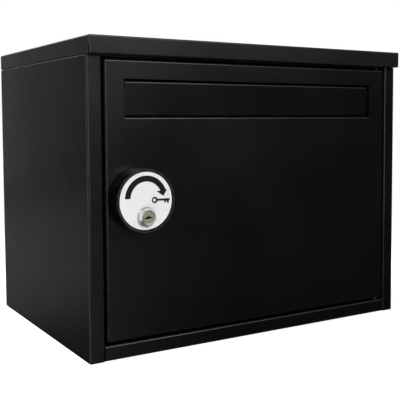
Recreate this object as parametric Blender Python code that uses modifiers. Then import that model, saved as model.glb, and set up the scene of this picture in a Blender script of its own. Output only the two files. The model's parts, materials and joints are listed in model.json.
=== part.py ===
"""Steel parcel drop box with a hinged door, a push-in letter flap and a turning lock knob.

Metres, +Z up. The origin is at the bottom centre of the whole object, the front faces -Y.
"""

import math

import bmesh
import bpy
from mathutils import Matrix, Vector

COLLECTION_NAME = "parcel_drop_box"
CUTTER_COLLECTION_NAME = "cutters"

# Driving dimensions of the cabinet.
WIDTH = 0.440
BODY_DEPTH = 0.304
BODY_TOP = 0.3262
LID_TOP = 0.3460
LID_FALL = 0.0023
LOCK_REACH = 0.028
SHEET = 0.0015
LID_SHEET = 0.0012
GAP = 0.0003
BEND_RADIUS = 0.0022
BEND_SEGMENTS = 3

LEFT = -WIDTH / 2
RIGHT = WIDTH / 2
FRONT = -(BODY_DEPTH - LOCK_REACH) / 2
BACK = FRONT + BODY_DEPTH
BACK_INNER = BACK - SHEET - GAP
WALL_INNER = RIGHT - SHEET - GAP

# Carcass folds.
STILE_WIDTH = 0.0172
STILE_RETURN = 0.016
REAR_FLANGE = 0.014
RAIL_TOP = 0.0166
RAIL_RETURN = 0.014
FLOOR_UPSTAND = 0.015
TOP_RAIL_DEPTH = 0.017
TOP_RAIL_DROP = 0.0145
ANGLE_LEG = 0.012
BETWEEN_STILES = RIGHT - STILE_WIDTH - GAP

# Lid.
LID_SIDE_OVERHANG = 0.0005
LID_FRONT_OVERHANG = 0.008
LID_BOTTOM = BODY_TOP + GAP
LID_RETURN = 0.010
LID_BEND = 0.0016
LID_SCREW_X = RIGHT - 0.0085
LID_SCREW_Y = (FRONT + 0.045, BACK - 0.045)
SCREW_SHANK = 0.0020
SCREW_HEAD = 0.0036
SCREW_HEAD_HEIGHT = 0.0022
SCREW_TIP = 0.0040

# Wall fixing holes in the back, closed with rubber plugs.
FIXING_X = 0.150
FIXING_Z = (0.060, 0.270)
FIXING_HOLE = 0.0040
FIXING_HEAD = 0.0070
FIXING_HEAD_HEIGHT = 0.0021

# Door.
DOOR_GAP = 0.0030
DOOR_LEFT = LEFT + STILE_WIDTH + DOOR_GAP
DOOR_RIGHT = RIGHT - STILE_WIDTH - DOOR_GAP
DOOR_BOTTOM = 0.0198
DOOR_TOP = 0.3224
DOOR_FLANGE = 0.014
HINGE_X = DOOR_RIGHT - 0.008
HINGE_Y = FRONT + 0.006
PIN_RADIUS = 0.0025
PIN_HOLE = 0.0028
PIN_HEAD = 0.0036
PIN_HEAD_HEIGHT = 0.002
PIN_REACH = 0.008
PIN_CHAMFER = 0.0005
WASHER_RADIUS = 0.0042
BUMPER_WIDTH = 0.012
BUMPER_HEIGHT = 0.009
STIFFENER_DEPTH = 0.007
STIFFENER_WIDTH = 0.016
STIFFENER_BEND = 0.002
STIFFENER_INSET = 0.010

# Letter slot and flap.
SLOT_LEFT = LEFT + 0.0432
SLOT_RIGHT = LEFT + 0.3951
SLOT_BOTTOM = 0.2613
SLOT_TOP = 0.3020
SLOT_LIP = 0.008
FLAP_SHEET = 0.0012
FLAP_SIDE_LAP = 0.003
FLAP_NOTCH = 0.002
FLAP_BOTTOM = SLOT_BOTTOM + 0.0019
FLAP_TOP = SLOT_TOP - 0.002
FLAP_FRONT = FRONT + 0.0023
FLAP_TILT = 0.0020
FLAP_RETURN = 0.0075
FLAP_AXIS_Y = FRONT + 0.0070
FLAP_AXIS_Z = 0.2915
ROD_RADIUS = 0.0015
ROD_HOLE = 0.0018
ROD_OVERHANG = 0.0022
BRACKET_CLEARANCE = 0.0016
BRACKET_LEG = 0.013
BRACKET_HEIGHT = 0.015
BRACKET_BEND = 0.002
RIVET_INSET = 0.0085
RIVET_HEAD = 0.0022
CLIP_WIDTH = 0.012
CLIP_HALF_HEIGHT = 0.0032
SPRING_RADIUS = 0.0023
SPRING_WIRE = 0.0004
SPRING_TURNS = 6
SPRING_PITCH = 0.0012
SPRING_LONG_LEG = 0.0155
SPRING_SHORT_LEG = 0.0050

# Knob, its latch and the lock in it. Depths are measured from the cabinet's front plane.
KNOB_X = LEFT + 0.0568
KNOB_Z = 0.1727
KNOB_RADIUS = 0.0343
KNOB_FRONT = 0.0226
KNOB_BACK = 0.0026
KNOB_WALL = 0.0025
DISC_RADIUS = 0.0313
DISC_FRONT = 0.0220
DISC_THICKNESS = 0.0006
BASE_RADIUS = 0.0330
BASE_FRONT = 0.0023
BASE_BORE = 0.0125
BUSH_RADIUS = 0.0107
BUSH_HOLE = 0.0110
BUSH_BORE = 0.0063
BUSH_LENGTH = 0.012
BUSH_FLANGE = 0.0122
BUSH_NUT_RADIUS = 0.0160
SPINDLE_RADIUS = 0.0060
STUD_RADIUS = 0.0040
LEVER_NEAR = 0.0180
LEVER_FAR = 0.0210
LEVER_REACH = 0.0478
LEVER_WIDTH = 0.016
LEVER_TAPER = 0.75
LEVER_NUT_RADIUS = 0.0080
NUT_THICKNESS = 0.0040
BARREL_DROP = 0.0175
BARREL_BASE = 0.0108
BARREL_FACE = 0.0089
BARREL_SHANK = 0.0089
LOCK_PLUG_RADIUS = 0.0075
LOCK_PLUG_BORE = 0.0078
LOCK_PLUG_RECESS = 0.0004
KEYWAY_WIDTH = 0.0090
KEYWAY_HEIGHT = 0.0014
KEYWAY_DEPTH = 0.006
PAWL_THICKNESS = 0.0015

BLACK_COAT = ("black_powder_coat", (0.012, 0.012, 0.013), 0.42, 0.0)
STEEL = ("zinc_plated_steel", (0.55, 0.55, 0.53), 0.35, 1.0)
CHROME = ("chrome", (0.75, 0.75, 0.76), 0.12, 1.0)
BRASS = ("nickel_brass", (0.62, 0.55, 0.38), 0.28, 1.0)
BLACK_PLASTIC = ("black_plastic", (0.010, 0.010, 0.011), 0.25, 0.0)
WHITE_PLATE = ("white_enamel", (0.86, 0.87, 0.88), 0.30, 0.0)
RUBBER = ("black_rubber", (0.018, 0.018, 0.018), 0.80, 0.0)
NYLON = ("black_nylon", (0.020, 0.020, 0.020), 0.50, 0.0)


def clear_scene():
    for obj in list(bpy.data.objects):
        bpy.data.objects.remove(obj)


def make_collection(name):
    collection = bpy.data.collections.new(name)
    bpy.context.scene.collection.children.link(collection)
    return collection


def material_for(finish):
    name, colour, roughness, metallic = finish
    material = bpy.data.materials.get(name)
    if material is None:
        material = bpy.data.materials.new(name)
        material.use_nodes = True
        shader = material.node_tree.nodes["Principled BSDF"]
        shader.inputs["Base Color"].default_value = (*colour, 1.0)
        shader.inputs["Roughness"].default_value = roughness
        shader.inputs["Metallic"].default_value = metallic
        material.diffuse_color = (*colour, 1.0)
    return material


def add_object(name, data, finish, parent=None):
    """Link a mesh or curve as one part; its geometry is given relative to the parent."""
    obj = bpy.data.objects.new(name, data)
    bpy.data.collections[COLLECTION_NAME].objects.link(obj)
    data.materials.append(material_for(finish))
    obj.parent = parent
    return obj


def add_joint_empty(name, location, parent=None):
    empty = bpy.data.objects.new(name, None)
    bpy.data.collections[COLLECTION_NAME].objects.link(empty)
    empty.empty_display_size = 0.02
    empty.parent = parent
    origin = joint_origin(parent)
    empty.location = Vector(location) - origin
    empty["joint_origin"] = location
    return empty


def joint_origin(parent):
    return Vector(parent["joint_origin"]) if parent else Vector((0.0, 0.0, 0.0))


def finish_mesh(name, bm, finish, parent, smooth=False):
    """Write a bmesh made in world coordinates as an object under its joint's empty."""
    bmesh.ops.translate(bm, verts=bm.verts, vec=-joint_origin(parent))
    mesh = bpy.data.meshes.new(name)
    bm.to_mesh(mesh)
    bm.free()
    if smooth:
        mesh.shade_smooth()
        mesh.set_sharp_from_angle(angle=math.radians(35))
    return add_object(name, mesh, finish, parent)


def add_bevel(obj, width, segments=BEND_SEGMENTS):
    bevel = obj.modifiers.new("bends", "BEVEL")
    bevel.width = width
    bevel.segments = segments
    bevel.limit_method = "ANGLE"
    bevel.angle_limit = math.radians(40)


def add_solidify(obj, thickness):
    solidify = obj.modifiers.new("sheet", "SOLIDIFY")
    solidify.thickness = thickness
    solidify.offset = -1.0
    solidify.use_even_offset = True


def cut(obj, cutter):
    boolean = obj.modifiers.new("cut", "BOOLEAN")
    boolean.operation = "DIFFERENCE"
    boolean.solver = "EXACT"
    boolean.object = cutter


def as_cutter(obj):
    """Turn an object into a hidden cutter in the cutters' own collection."""
    for collection in list(obj.users_collection):
        collection.objects.unlink(obj)
    bpy.data.collections[CUTTER_COLLECTION_NAME].objects.link(obj)
    obj.hide_render = True
    obj.display_type = "WIRE"
    return obj


def box_mesh(low, high):
    bm = bmesh.new()
    bmesh.ops.create_cube(bm, size=1.0)
    size = Vector(high) - Vector(low)
    middle = (Vector(high) + Vector(low)) / 2
    bmesh.ops.scale(bm, verts=bm.verts, vec=size)
    bmesh.ops.translate(bm, verts=bm.verts, vec=middle)
    return bm


def add_box(name, low, high, finish, parent=None, edge=0.0):
    obj = finish_mesh(name, box_mesh(low, high), finish, parent)
    if edge:
        add_bevel(obj, edge, 2)
    return obj


def box_cutter(name, low, high):
    return as_cutter(finish_mesh(name, box_mesh(low, high), STEEL, None))


def rod_mesh(start, end, radius, segments):
    """Closed cylinder between two points."""
    start = Vector(start)
    end = Vector(end)
    axis = end - start
    bm = bmesh.new()
    bmesh.ops.create_cone(
        bm, cap_ends=True, segments=segments, radius1=radius, radius2=radius, depth=axis.length
    )
    turn = axis.to_track_quat("Z", "Y").to_matrix().to_4x4()
    bmesh.ops.transform(bm, verts=bm.verts, matrix=Matrix.Translation((start + end) / 2) @ turn)
    return bm


def add_rod(name, start, end, radius, finish, parent=None, segments=24):
    return finish_mesh(name, rod_mesh(start, end, radius, segments), finish, parent, smooth=True)


def rod_cutter(name, start, end, radius, segments=24):
    return as_cutter(finish_mesh(name, rod_mesh(start, end, radius, segments), STEEL, None))


def add_turned(name, profile, centre, finish, parent=None, forward=False, segments=32):
    """Turn a profile of (radius, height) points round an axis.

    The profile runs from the top of the axis down its outer side. With forward set, the
    axis is -Y, so height is measured out of the cabinet's front.
    """
    bm = bmesh.new()
    points = [bm.verts.new((radius, 0.0, height)) for radius, height in profile]
    for first, second in zip(points, points[1:]):
        bm.edges.new((first, second))
    if profile[0][0] > 0.0:
        bm.edges.new((points[-1], points[0]))
    mesh = bpy.data.meshes.new(name)
    bm.to_mesh(mesh)
    bm.free()
    obj = add_object(name, mesh, finish, parent)
    obj.location = Vector(centre) - joint_origin(parent)
    if forward:
        obj.rotation_euler = (math.radians(90), 0.0, 0.0)
    screw = obj.modifiers.new("turn", "SCREW")
    screw.axis = "Z"
    screw.steps = segments
    screw.render_steps = segments
    screw.use_merge_vertices = True
    screw.merge_threshold = 0.00001
    screw.use_smooth_shade = True
    return obj


def add_plate(name, outline, near, far, finish, parent, centre, hole_radius=0.0):
    """Flat plate facing -Y: an outline of (x, z) points round a centre, with one round hole."""
    curve = bpy.data.curves.new(name, "CURVE")
    curve.dimensions = "2D"
    curve.fill_mode = "BOTH"
    curve.extrude = (far - near) / 2
    loops = [outline]
    if hole_radius:
        loops.append(circle_points(hole_radius, 24))
    for loop in loops:
        spline = curve.splines.new("POLY")
        spline.points.add(len(loop) - 1)
        spline.use_cyclic_u = True
        for point, (x, z) in zip(spline.points, loop):
            point.co = (x, z, 0.0, 1.0)
    obj = add_object(name, curve, finish, parent)
    middle = Vector((centre[0], FRONT + (near + far) / 2, centre[1]))
    obj.location = middle - joint_origin(parent)
    obj.rotation_euler = (math.radians(90), 0.0, 0.0)
    return obj


def circle_points(radius, count, start=0.0):
    angles = [start + 2 * math.pi * step / count for step in range(count)]
    return [(radius * math.cos(angle), radius * math.sin(angle)) for angle in angles]


def add_folded_sheet(name, outline, travel, outward, thickness, finish, parent=None, bend=BEND_RADIUS):
    """Fold a sheet along an outline of its outer face, drawn in a plane and swept by travel.

    outward is the side that the first stretch of the outline shows to the outside.
    """
    bm = bmesh.new()
    points = [bm.verts.new(point) for point in outline]
    edges = [bm.edges.new(pair) for pair in zip(points, points[1:])]
    swept = bmesh.ops.extrude_edge_only(bm, edges=edges)
    moved = [item for item in swept["geom"] if isinstance(item, bmesh.types.BMVert)]
    bmesh.ops.translate(bm, verts=moved, vec=travel)
    bmesh.ops.recalc_face_normals(bm, faces=bm.faces)
    bm.normal_update()
    bm.edges.ensure_lookup_table()
    first_face = edges[0].link_faces[0]
    if first_face.normal.dot(Vector(outward)) < 0:
        bmesh.ops.reverse_faces(bm, faces=bm.faces)
    obj = finish_mesh(name, bm, finish, parent)
    add_bevel(obj, bend)
    add_solidify(obj, thickness)
    return obj


def follow_lid(mesh, above=0.0):
    """Raise the points over a height with the lid, which falls towards the front."""
    for vert in mesh.vertices:
        if vert.co.z > above:
            vert.co.z += lid_rise(vert.co.y)


def lid_rise(y):
    return LID_FALL * (y - FRONT) / BODY_DEPTH


def build_side_panel(name, side):
    """One side wall with its front stile, stile return and rear flange; side is -1 or 1."""
    stile = side * (RIGHT - STILE_WIDTH)
    outline = [
        (stile, FRONT + STILE_RETURN, 0.0),
        (stile, FRONT, 0.0),
        (side * RIGHT, FRONT, 0.0),
        (side * RIGHT, BACK_INNER, 0.0),
        (side * (RIGHT - REAR_FLANGE), BACK_INNER, 0.0),
    ]
    panel = add_folded_sheet(name, outline, (0, 0, BODY_TOP), (-side, 0, 0), SHEET, BLACK_COAT)
    follow_lid(panel.data, BODY_TOP / 2)


def build_bottom_panel():
    """Floor with the front rail between the stiles and a low upstand at the rear."""
    rear = BACK_INNER - SHEET - GAP
    outline = [
        (-WALL_INNER, FRONT + RAIL_RETURN, RAIL_TOP),
        (-WALL_INNER, FRONT, RAIL_TOP),
        (-WALL_INNER, FRONT, 0.0),
        (-WALL_INNER, rear, 0.0),
        (-WALL_INNER, rear, FLOOR_UPSTAND),
    ]
    panel = add_folded_sheet(
        "bottom_panel", outline, (2 * WALL_INNER, 0, 0), (0, 0, 1), SHEET, BLACK_COAT
    )
    for side in (-1, 1):
        near, far = sorted((side * BETWEEN_STILES, side * (RIGHT + GAP)))
        low = (near, FRONT - 0.01, -0.01)
        high = (far, FRONT + STILE_RETURN + GAP, RAIL_TOP + 0.01)
        cut(panel, box_cutter(f"stile_notch_{side}", low, high))
    hole_low = (HINGE_X, HINGE_Y, RAIL_TOP - 0.004)
    hole_high = (HINGE_X, HINGE_Y, RAIL_TOP + 0.004)
    cut(panel, rod_cutter("lower_pin_hole", hole_low, hole_high, PIN_HOLE))


def build_back_panel():
    panel = add_box("back_panel", (LEFT, BACK - SHEET, 0.0), (RIGHT, BACK, BODY_TOP), BLACK_COAT)
    follow_lid(panel.data, BODY_TOP / 2)
    profile = [
        (0.0, FIXING_HEAD_HEIGHT),
        (FIXING_HEAD - 0.0008, FIXING_HEAD_HEIGHT - GAP),
        (FIXING_HEAD, GAP),
        (FIXING_HOLE - GAP, GAP),
        (FIXING_HOLE - GAP, GAP - SHEET),
        (0.0, GAP - SHEET),
    ]
    places = [(x, z) for x in (-FIXING_X, FIXING_X) for z in FIXING_Z]
    for number, (x, z) in enumerate(places, 1):
        hole = rod_cutter(f"fixing_hole_{number}", (x, BACK - 0.01, z), (x, BACK + 0.01, z), FIXING_HOLE)
        cut(panel, hole)
        centre = (x, BACK - SHEET, z)
        add_turned(f"mounting_plug_{number}", profile, centre, RUBBER, forward=True, segments=20)


def build_top_angles():
    """Angle strips inside the top edges, which the lid is screwed to."""
    start = FRONT + TOP_RAIL_DEPTH + 0.001
    end = BACK_INNER - SHEET - 2 * GAP
    for side, name in ((-1, "left_top_angle"), (1, "right_top_angle")):
        outline = [
            (side * (WALL_INNER - ANGLE_LEG), start, BODY_TOP),
            (side * WALL_INNER, start, BODY_TOP),
            (side * WALL_INNER, start, BODY_TOP - ANGLE_LEG),
        ]
        angle = add_folded_sheet(name, outline, (0, end - start, 0), (0, 0, 1), SHEET, BLACK_COAT)
        follow_lid(angle.data)
        for number, y in enumerate(LID_SCREW_Y):
            x = side * LID_SCREW_X
            seat = BODY_TOP + lid_rise(y)
            low = (x, y, seat - SCREW_TIP)
            high = (x, y, seat + SCREW_TIP)
            hole = rod_cutter(f"{name}_screw_hole_{number}", low, high, SCREW_SHANK + GAP, 16)
            cut(angle, hole)
            cut(bpy.data.objects["lid"], hole)
    half = WALL_INNER - ANGLE_LEG - GAP
    rear = BACK_INNER - SHEET - 2 * GAP
    outline = [
        (-half, rear - ANGLE_LEG, BODY_TOP),
        (-half, rear, BODY_TOP),
        (-half, rear, BODY_TOP - ANGLE_LEG),
    ]
    angle = add_folded_sheet("rear_top_angle", outline, (2 * half, 0, 0), (0, 0, 1), SHEET, BLACK_COAT)
    follow_lid(angle.data)


def build_lid_screws():
    head_top = BODY_TOP - SHEET - GAP
    profile = [
        (0.0, LID_BOTTOM + SCREW_TIP),
        (SCREW_SHANK, LID_BOTTOM + SCREW_TIP - 0.0006),
        (SCREW_SHANK, head_top),
        (SCREW_HEAD, head_top),
        (SCREW_HEAD, head_top - SCREW_HEAD_HEIGHT / 2),
        (SCREW_SHANK, head_top - SCREW_HEAD_HEIGHT),
        (0.0, head_top - SCREW_HEAD_HEIGHT),
    ]
    places = [(side * LID_SCREW_X, y) for side in (-1, 1) for y in LID_SCREW_Y]
    for number, (x, y) in enumerate(places, 1):
        add_turned(f"lid_screw_{number}", profile, (x, y, lid_rise(y)), STEEL, segments=20)


def build_front_top_rail():
    """Head rail over the door, with a flange that the closed door stops against."""
    outline = [
        (-BETWEEN_STILES, FRONT, BODY_TOP),
        (-BETWEEN_STILES, FRONT + TOP_RAIL_DEPTH, BODY_TOP),
        (-BETWEEN_STILES, FRONT + TOP_RAIL_DEPTH, BODY_TOP - TOP_RAIL_DROP),
    ]
    rail = add_folded_sheet(
        "front_top_rail", outline, (2 * BETWEEN_STILES, 0, 0), (0, 0, 1), SHEET, BLACK_COAT
    )
    swing_low = (HINGE_X - 0.014, FRONT + 0.012, BODY_TOP - 0.02)
    swing_high = (RIGHT, FRONT + 0.03, BODY_TOP - BEND_RADIUS)
    cut(rail, box_cutter("door_swing_notch", swing_low, swing_high))
    hole_low = (HINGE_X, HINGE_Y, BODY_TOP - 0.004)
    hole_high = (HINGE_X, HINGE_Y, BODY_TOP + 0.004)
    cut(rail, rod_cutter("upper_pin_hole", hole_low, hole_high, PIN_HOLE))


def build_lid():
    """Folded cap: top, four skirts and a return under the skirts."""
    low = (LEFT - LID_SIDE_OVERHANG, FRONT - LID_FRONT_OVERHANG, LID_BOTTOM)
    high = (RIGHT + LID_SIDE_OVERHANG, BACK, LID_TOP)
    bm = box_mesh(low, high)
    under = [face for face in bm.faces if face.normal.z < -0.9]
    bmesh.ops.delete(bm, geom=under, context="FACES_ONLY")
    rim = [edge for edge in bm.edges if edge.is_boundary]
    lip = bmesh.ops.extrude_edge_only(bm, edges=rim)
    middle_y = (low[1] + high[1]) / 2
    for vert in [item for item in lip["geom"] if isinstance(item, bmesh.types.BMVert)]:
        vert.co.x -= math.copysign(LID_RETURN, vert.co.x)
        vert.co.y -= math.copysign(LID_RETURN, vert.co.y - middle_y)
    bmesh.ops.recalc_face_normals(bm, faces=bm.faces)
    bm.normal_update()
    top = max(bm.faces, key=lambda face: face.calc_center_median().z)
    if top.normal.z < 0:
        bmesh.ops.reverse_faces(bm, faces=bm.faces)
    lid = finish_mesh("lid", bm, BLACK_COAT, None)
    follow_lid(lid.data)
    add_bevel(lid, LID_BEND)
    add_solidify(lid, LID_SHEET)


def build_hinge_pins():
    """Pivot pins of the door with a nylon washer each."""
    lower_head = RAIL_TOP - SHEET - GAP
    lower_tip = DOOR_BOTTOM + PIN_REACH
    profile = [
        (0.0, lower_tip),
        (PIN_RADIUS - PIN_CHAMFER, lower_tip),
        (PIN_RADIUS, lower_tip - PIN_CHAMFER),
        (PIN_RADIUS, lower_head),
        (PIN_HEAD, lower_head),
        (PIN_HEAD, lower_head - PIN_HEAD_HEIGHT),
        (0.0, lower_head - PIN_HEAD_HEIGHT),
    ]
    add_turned("lower_hinge_pin", profile, (HINGE_X, HINGE_Y, 0.0), STEEL, segments=24)
    upper_head = BODY_TOP + GAP
    upper_tip = DOOR_TOP - PIN_REACH
    profile = [
        (0.0, upper_head + PIN_HEAD_HEIGHT),
        (PIN_HEAD, upper_head + PIN_HEAD_HEIGHT),
        (PIN_HEAD, upper_head),
        (PIN_RADIUS, upper_head),
        (PIN_RADIUS, upper_tip + PIN_CHAMFER),
        (PIN_RADIUS - PIN_CHAMFER, upper_tip),
        (0.0, upper_tip),
    ]
    add_turned("upper_hinge_pin", profile, (HINGE_X, HINGE_Y, 0.0), STEEL, segments=24)
    washers = (
        ("lower_hinge_washer", RAIL_TOP + GAP, DOOR_BOTTOM - GAP),
        ("upper_hinge_washer", DOOR_TOP + GAP, BODY_TOP - SHEET - GAP),
    )
    for name, low, high in washers:
        profile = [(PIN_HOLE, high), (WASHER_RADIUS, high), (WASHER_RADIUS, low), (PIN_HOLE, low)]
        add_turned(name, profile, (HINGE_X, HINGE_Y, 0.0), NYLON, segments=24)


def build_door_bumpers():
    """Thin rubber pads on the head rail's flange, behind the door's top flange."""
    near = DOOR_FLANGE + GAP
    far = TOP_RAIL_DEPTH - SHEET - GAP
    for number, x in enumerate((DOOR_LEFT + 0.030, 0.0, HINGE_X - 0.045)):
        low = (x - BUMPER_WIDTH / 2, FRONT + near, DOOR_TOP - BUMPER_HEIGHT)
        high = (x + BUMPER_WIDTH / 2, FRONT + far, DOOR_TOP)
        add_box(f"door_bumper_{number + 1}", low, high, RUBBER)


def fold_edges(bm, edges, travel):
    """Extrude open edges into a new strip and return the strip's far edges."""
    folded = bmesh.ops.extrude_edge_only(bm, edges=edges)
    moved = [item for item in folded["geom"] if isinstance(item, bmesh.types.BMVert)]
    bmesh.ops.translate(bm, verts=moved, vec=travel)
    moved = set(moved)
    new_edges = [item for item in folded["geom"] if isinstance(item, bmesh.types.BMEdge)]
    return [edge for edge in new_edges if set(edge.verts) <= moved]


def build_door_panel(door):
    """Pan-shaped door with a letter slot whose lower edge is folded in."""
    bm = bmesh.new()
    bmesh.ops.create_grid(bm, x_segments=3, y_segments=3, size=0.5)
    columns = (DOOR_LEFT, SLOT_LEFT, SLOT_RIGHT, DOOR_RIGHT)
    rows = (DOOR_BOTTOM, SLOT_BOTTOM - BEND_RADIUS, SLOT_TOP, DOOR_TOP)
    for vert in bm.verts:
        column = round((vert.co.x + 0.5) * 3)
        row = round((vert.co.y + 0.5) * 3)
        vert.co = (columns[column], FRONT, rows[row])
    outer = [edge for edge in bm.edges if edge.is_boundary]
    slot_middle = Vector(((SLOT_LEFT + SLOT_RIGHT) / 2, FRONT, (SLOT_BOTTOM + SLOT_TOP) / 2))
    slot = min(bm.faces, key=lambda face: (face.calc_center_median() - slot_middle).length)
    sill = min(slot.edges, key=lambda edge: sum(vert.co.z for vert in edge.verts))
    bmesh.ops.delete(bm, geom=[slot], context="FACES_ONLY")
    fold_edges(bm, outer, (0, DOOR_FLANGE, 0))
    edges = [sill]
    y, z = 0.0, 0.0
    for angle in arc_angles(0.0, math.pi / 2, BEND_SEGMENTS)[1:]:
        next_y = BEND_RADIUS * (1 - math.cos(angle))
        next_z = BEND_RADIUS * math.sin(angle)
        edges = fold_edges(bm, edges, (0, next_y - y, next_z - z))
        y, z = next_y, next_z
    fold_edges(bm, edges, (0, SLOT_LIP - BEND_RADIUS, 0))
    bmesh.ops.recalc_face_normals(bm, faces=bm.faces)
    bm.normal_update()
    front = [face for face in bm.faces if abs(face.normal.y) > 0.9]
    if front[0].normal.y > 0:
        bmesh.ops.reverse_faces(bm, faces=bm.faces)
    panel = finish_mesh("door_panel", bm, BLACK_COAT, door)
    add_bevel(panel, BEND_RADIUS)
    add_solidify(panel, SHEET)
    pin_line = ((HINGE_X, HINGE_Y, 0.0), (HINGE_X, HINGE_Y, LID_TOP))
    cut(panel, rod_cutter("door_pin_holes", *pin_line, PIN_HOLE))
    hole = ((KNOB_X, FRONT - 0.01, KNOB_Z), (KNOB_X, FRONT + 0.01, KNOB_Z))
    cut(panel, rod_cutter("door_bush_hole", *hole, BUSH_HOLE, 32))


def build_door_stiffeners(door):
    """Channels on the inside of the door, one under the slot and one down the hinge side."""
    near = FRONT + SHEET + GAP
    far = near + STIFFENER_DEPTH
    left = DOOR_LEFT + STIFFENER_INSET
    top = SLOT_BOTTOM - 0.012
    low = top - STIFFENER_WIDTH
    outline = [(left, near, top), (left, far, top), (left, far, low), (left, near, low)]
    travel = (DOOR_RIGHT - DOOR_LEFT - 2 * STIFFENER_INSET, 0, 0)
    add_folded_sheet(
        "slot_stiffener", outline, travel, (0, 0, 1), SHEET, BLACK_COAT, door, STIFFENER_BEND
    )
    right = HINGE_X - 0.012
    left = right - STIFFENER_WIDTH
    bottom = DOOR_BOTTOM + 0.012
    outline = [(right, near, bottom), (right, far, bottom), (left, far, bottom), (left, near, bottom)]
    travel = (0, 0, low - 0.0033 - bottom)
    add_folded_sheet(
        "hinge_side_stiffener", outline, travel, (1, 0, 0), SHEET, BLACK_COAT, door, STIFFENER_BEND
    )


def build_flap_brackets(door):
    """Folded brackets behind the door that carry the ends of the flap's rod."""
    near = FRONT + SHEET + GAP
    bottom = FLAP_AXIS_Z - BRACKET_HEIGHT / 2
    arm_left = SLOT_LEFT - FLAP_SIDE_LAP - BRACKET_CLEARANCE
    arm_right = SLOT_RIGHT + FLAP_SIDE_LAP + BRACKET_CLEARANCE
    foot_face = -2 * (SHEET + GAP)
    rivet_profile = [
        (0.0, foot_face),
        (RIVET_HEAD, foot_face),
        (RIVET_HEAD, foot_face - 0.0005),
        (RIVET_HEAD - 0.0010, foot_face - 0.0012),
        (0.0, foot_face - 0.0012),
    ]
    for side, arm, name in ((-1, arm_left, "left"), (1, arm_right, "right")):
        outline = [
            (arm, near + BRACKET_LEG, bottom),
            (arm, near, bottom),
            (arm + side * BRACKET_LEG, near, bottom),
        ]
        node = f"flap_bracket_{name}"
        travel = (0, 0, BRACKET_HEIGHT)
        bracket = add_folded_sheet(
            node, outline, travel, (-side, 0, 0), SHEET, STEEL, door, BRACKET_BEND
        )
        reach = ((arm - 0.006, FLAP_AXIS_Y, FLAP_AXIS_Z), (arm + 0.006, FLAP_AXIS_Y, FLAP_AXIS_Z))
        cut(bracket, rod_cutter(f"{node}_hole", *reach, ROD_HOLE, 16))
        rivet = (arm + side * RIVET_INSET, FRONT, FLAP_AXIS_Z)
        add_turned(f"bracket_rivet_{name}", rivet_profile, rivet, STEEL, door, True, 16)


def build_flap(flap):
    """Letter flap: a sheet with a notched upper strip and a fold over the rod."""
    flap_left = SLOT_LEFT - FLAP_SIDE_LAP
    flap_right = SLOT_RIGHT + FLAP_SIDE_LAP
    outline = [
        (flap_left, FLAP_FRONT + FLAP_TILT, FLAP_BOTTOM),
        (flap_left, FLAP_FRONT, FLAP_TOP),
        (flap_left, FLAP_FRONT + FLAP_RETURN, FLAP_TOP),
    ]
    panel = add_folded_sheet(
        "letter_flap", outline, (flap_right - flap_left, 0, 0), (0, -1, 0), FLAP_SHEET, BLACK_COAT, flap
    )
    notches = (
        (flap_left - 0.01, SLOT_LEFT + FLAP_NOTCH, "left"),
        (SLOT_RIGHT - FLAP_NOTCH, flap_right + 0.01, "right"),
    )
    for near, far, name in notches:
        low = (near, FRONT - 0.01, FLAP_AXIS_Z - 0.0005)
        high = (far, FRONT + 0.03, SLOT_TOP + 0.01)
        cut(panel, box_cutter(f"flap_notch_{name}", low, high))


def build_flap_hinge(flap):
    end = BRACKET_CLEARANCE + SHEET + ROD_OVERHANG
    left = (SLOT_LEFT - FLAP_SIDE_LAP - end, FLAP_AXIS_Y, FLAP_AXIS_Z)
    right = (SLOT_RIGHT + FLAP_SIDE_LAP + end, FLAP_AXIS_Y, FLAP_AXIS_Z)
    add_rod("flap_rod", left, right, ROD_RADIUS, STEEL, flap, 16)
    quarter = (SLOT_RIGHT - SLOT_LEFT) / 2 - 0.030
    middle = (SLOT_LEFT + SLOT_RIGHT) / 2
    for x, name in ((middle - quarter, "left"), (middle + quarter, "right")):
        low = (x - CLIP_WIDTH / 2, FRONT + 0.0045, FLAP_AXIS_Z - CLIP_HALF_HEIGHT)
        high = (x + CLIP_WIDTH / 2, FLAP_AXIS_Y + 0.0030, FLAP_AXIS_Z + CLIP_HALF_HEIGHT)
        clip = add_box(f"flap_clip_{name}", low, high, STEEL, flap)
        reach = ((x - 0.01, FLAP_AXIS_Y, FLAP_AXIS_Z), (x + 0.01, FLAP_AXIS_Y, FLAP_AXIS_Z))
        cut(clip, rod_cutter(f"flap_clip_{name}_hole", *reach, ROD_HOLE, 16))


def build_flap_spring(flap):
    """Torsion spring round the rod, one leg down the back of the flap and one short leg."""
    per_turn = 10
    half_length = SPRING_TURNS * SPRING_PITCH / 2
    middle = (SLOT_LEFT + SLOT_RIGHT) / 2
    points = [(middle - half_length, -SPRING_RADIUS + 0.0009, -SPRING_LONG_LEG)]
    steps = int((SPRING_TURNS + 0.5) * per_turn)
    for step in range(steps + 1):
        angle = math.pi + 2 * math.pi * step / per_turn
        x = middle - half_length + SPRING_PITCH * step / per_turn
        points.append((x, SPRING_RADIUS * math.cos(angle), SPRING_RADIUS * -math.sin(angle)))
    points.append((points[-1][0], SPRING_RADIUS, SPRING_SHORT_LEG))
    curve = bpy.data.curves.new("flap_spring", "CURVE")
    curve.dimensions = "3D"
    curve.bevel_depth = SPRING_WIRE
    curve.bevel_resolution = 1
    curve.use_fill_caps = True
    spline = curve.splines.new("POLY")
    spline.points.add(len(points) - 1)
    for point, (x, y, z) in zip(spline.points, points):
        point.co = (x, y, z, 1.0)
    spring = add_object("flap_spring", curve, STEEL, flap)
    spring.location = Vector((0.0, FLAP_AXIS_Y, FLAP_AXIS_Z)) - joint_origin(flap)


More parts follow.
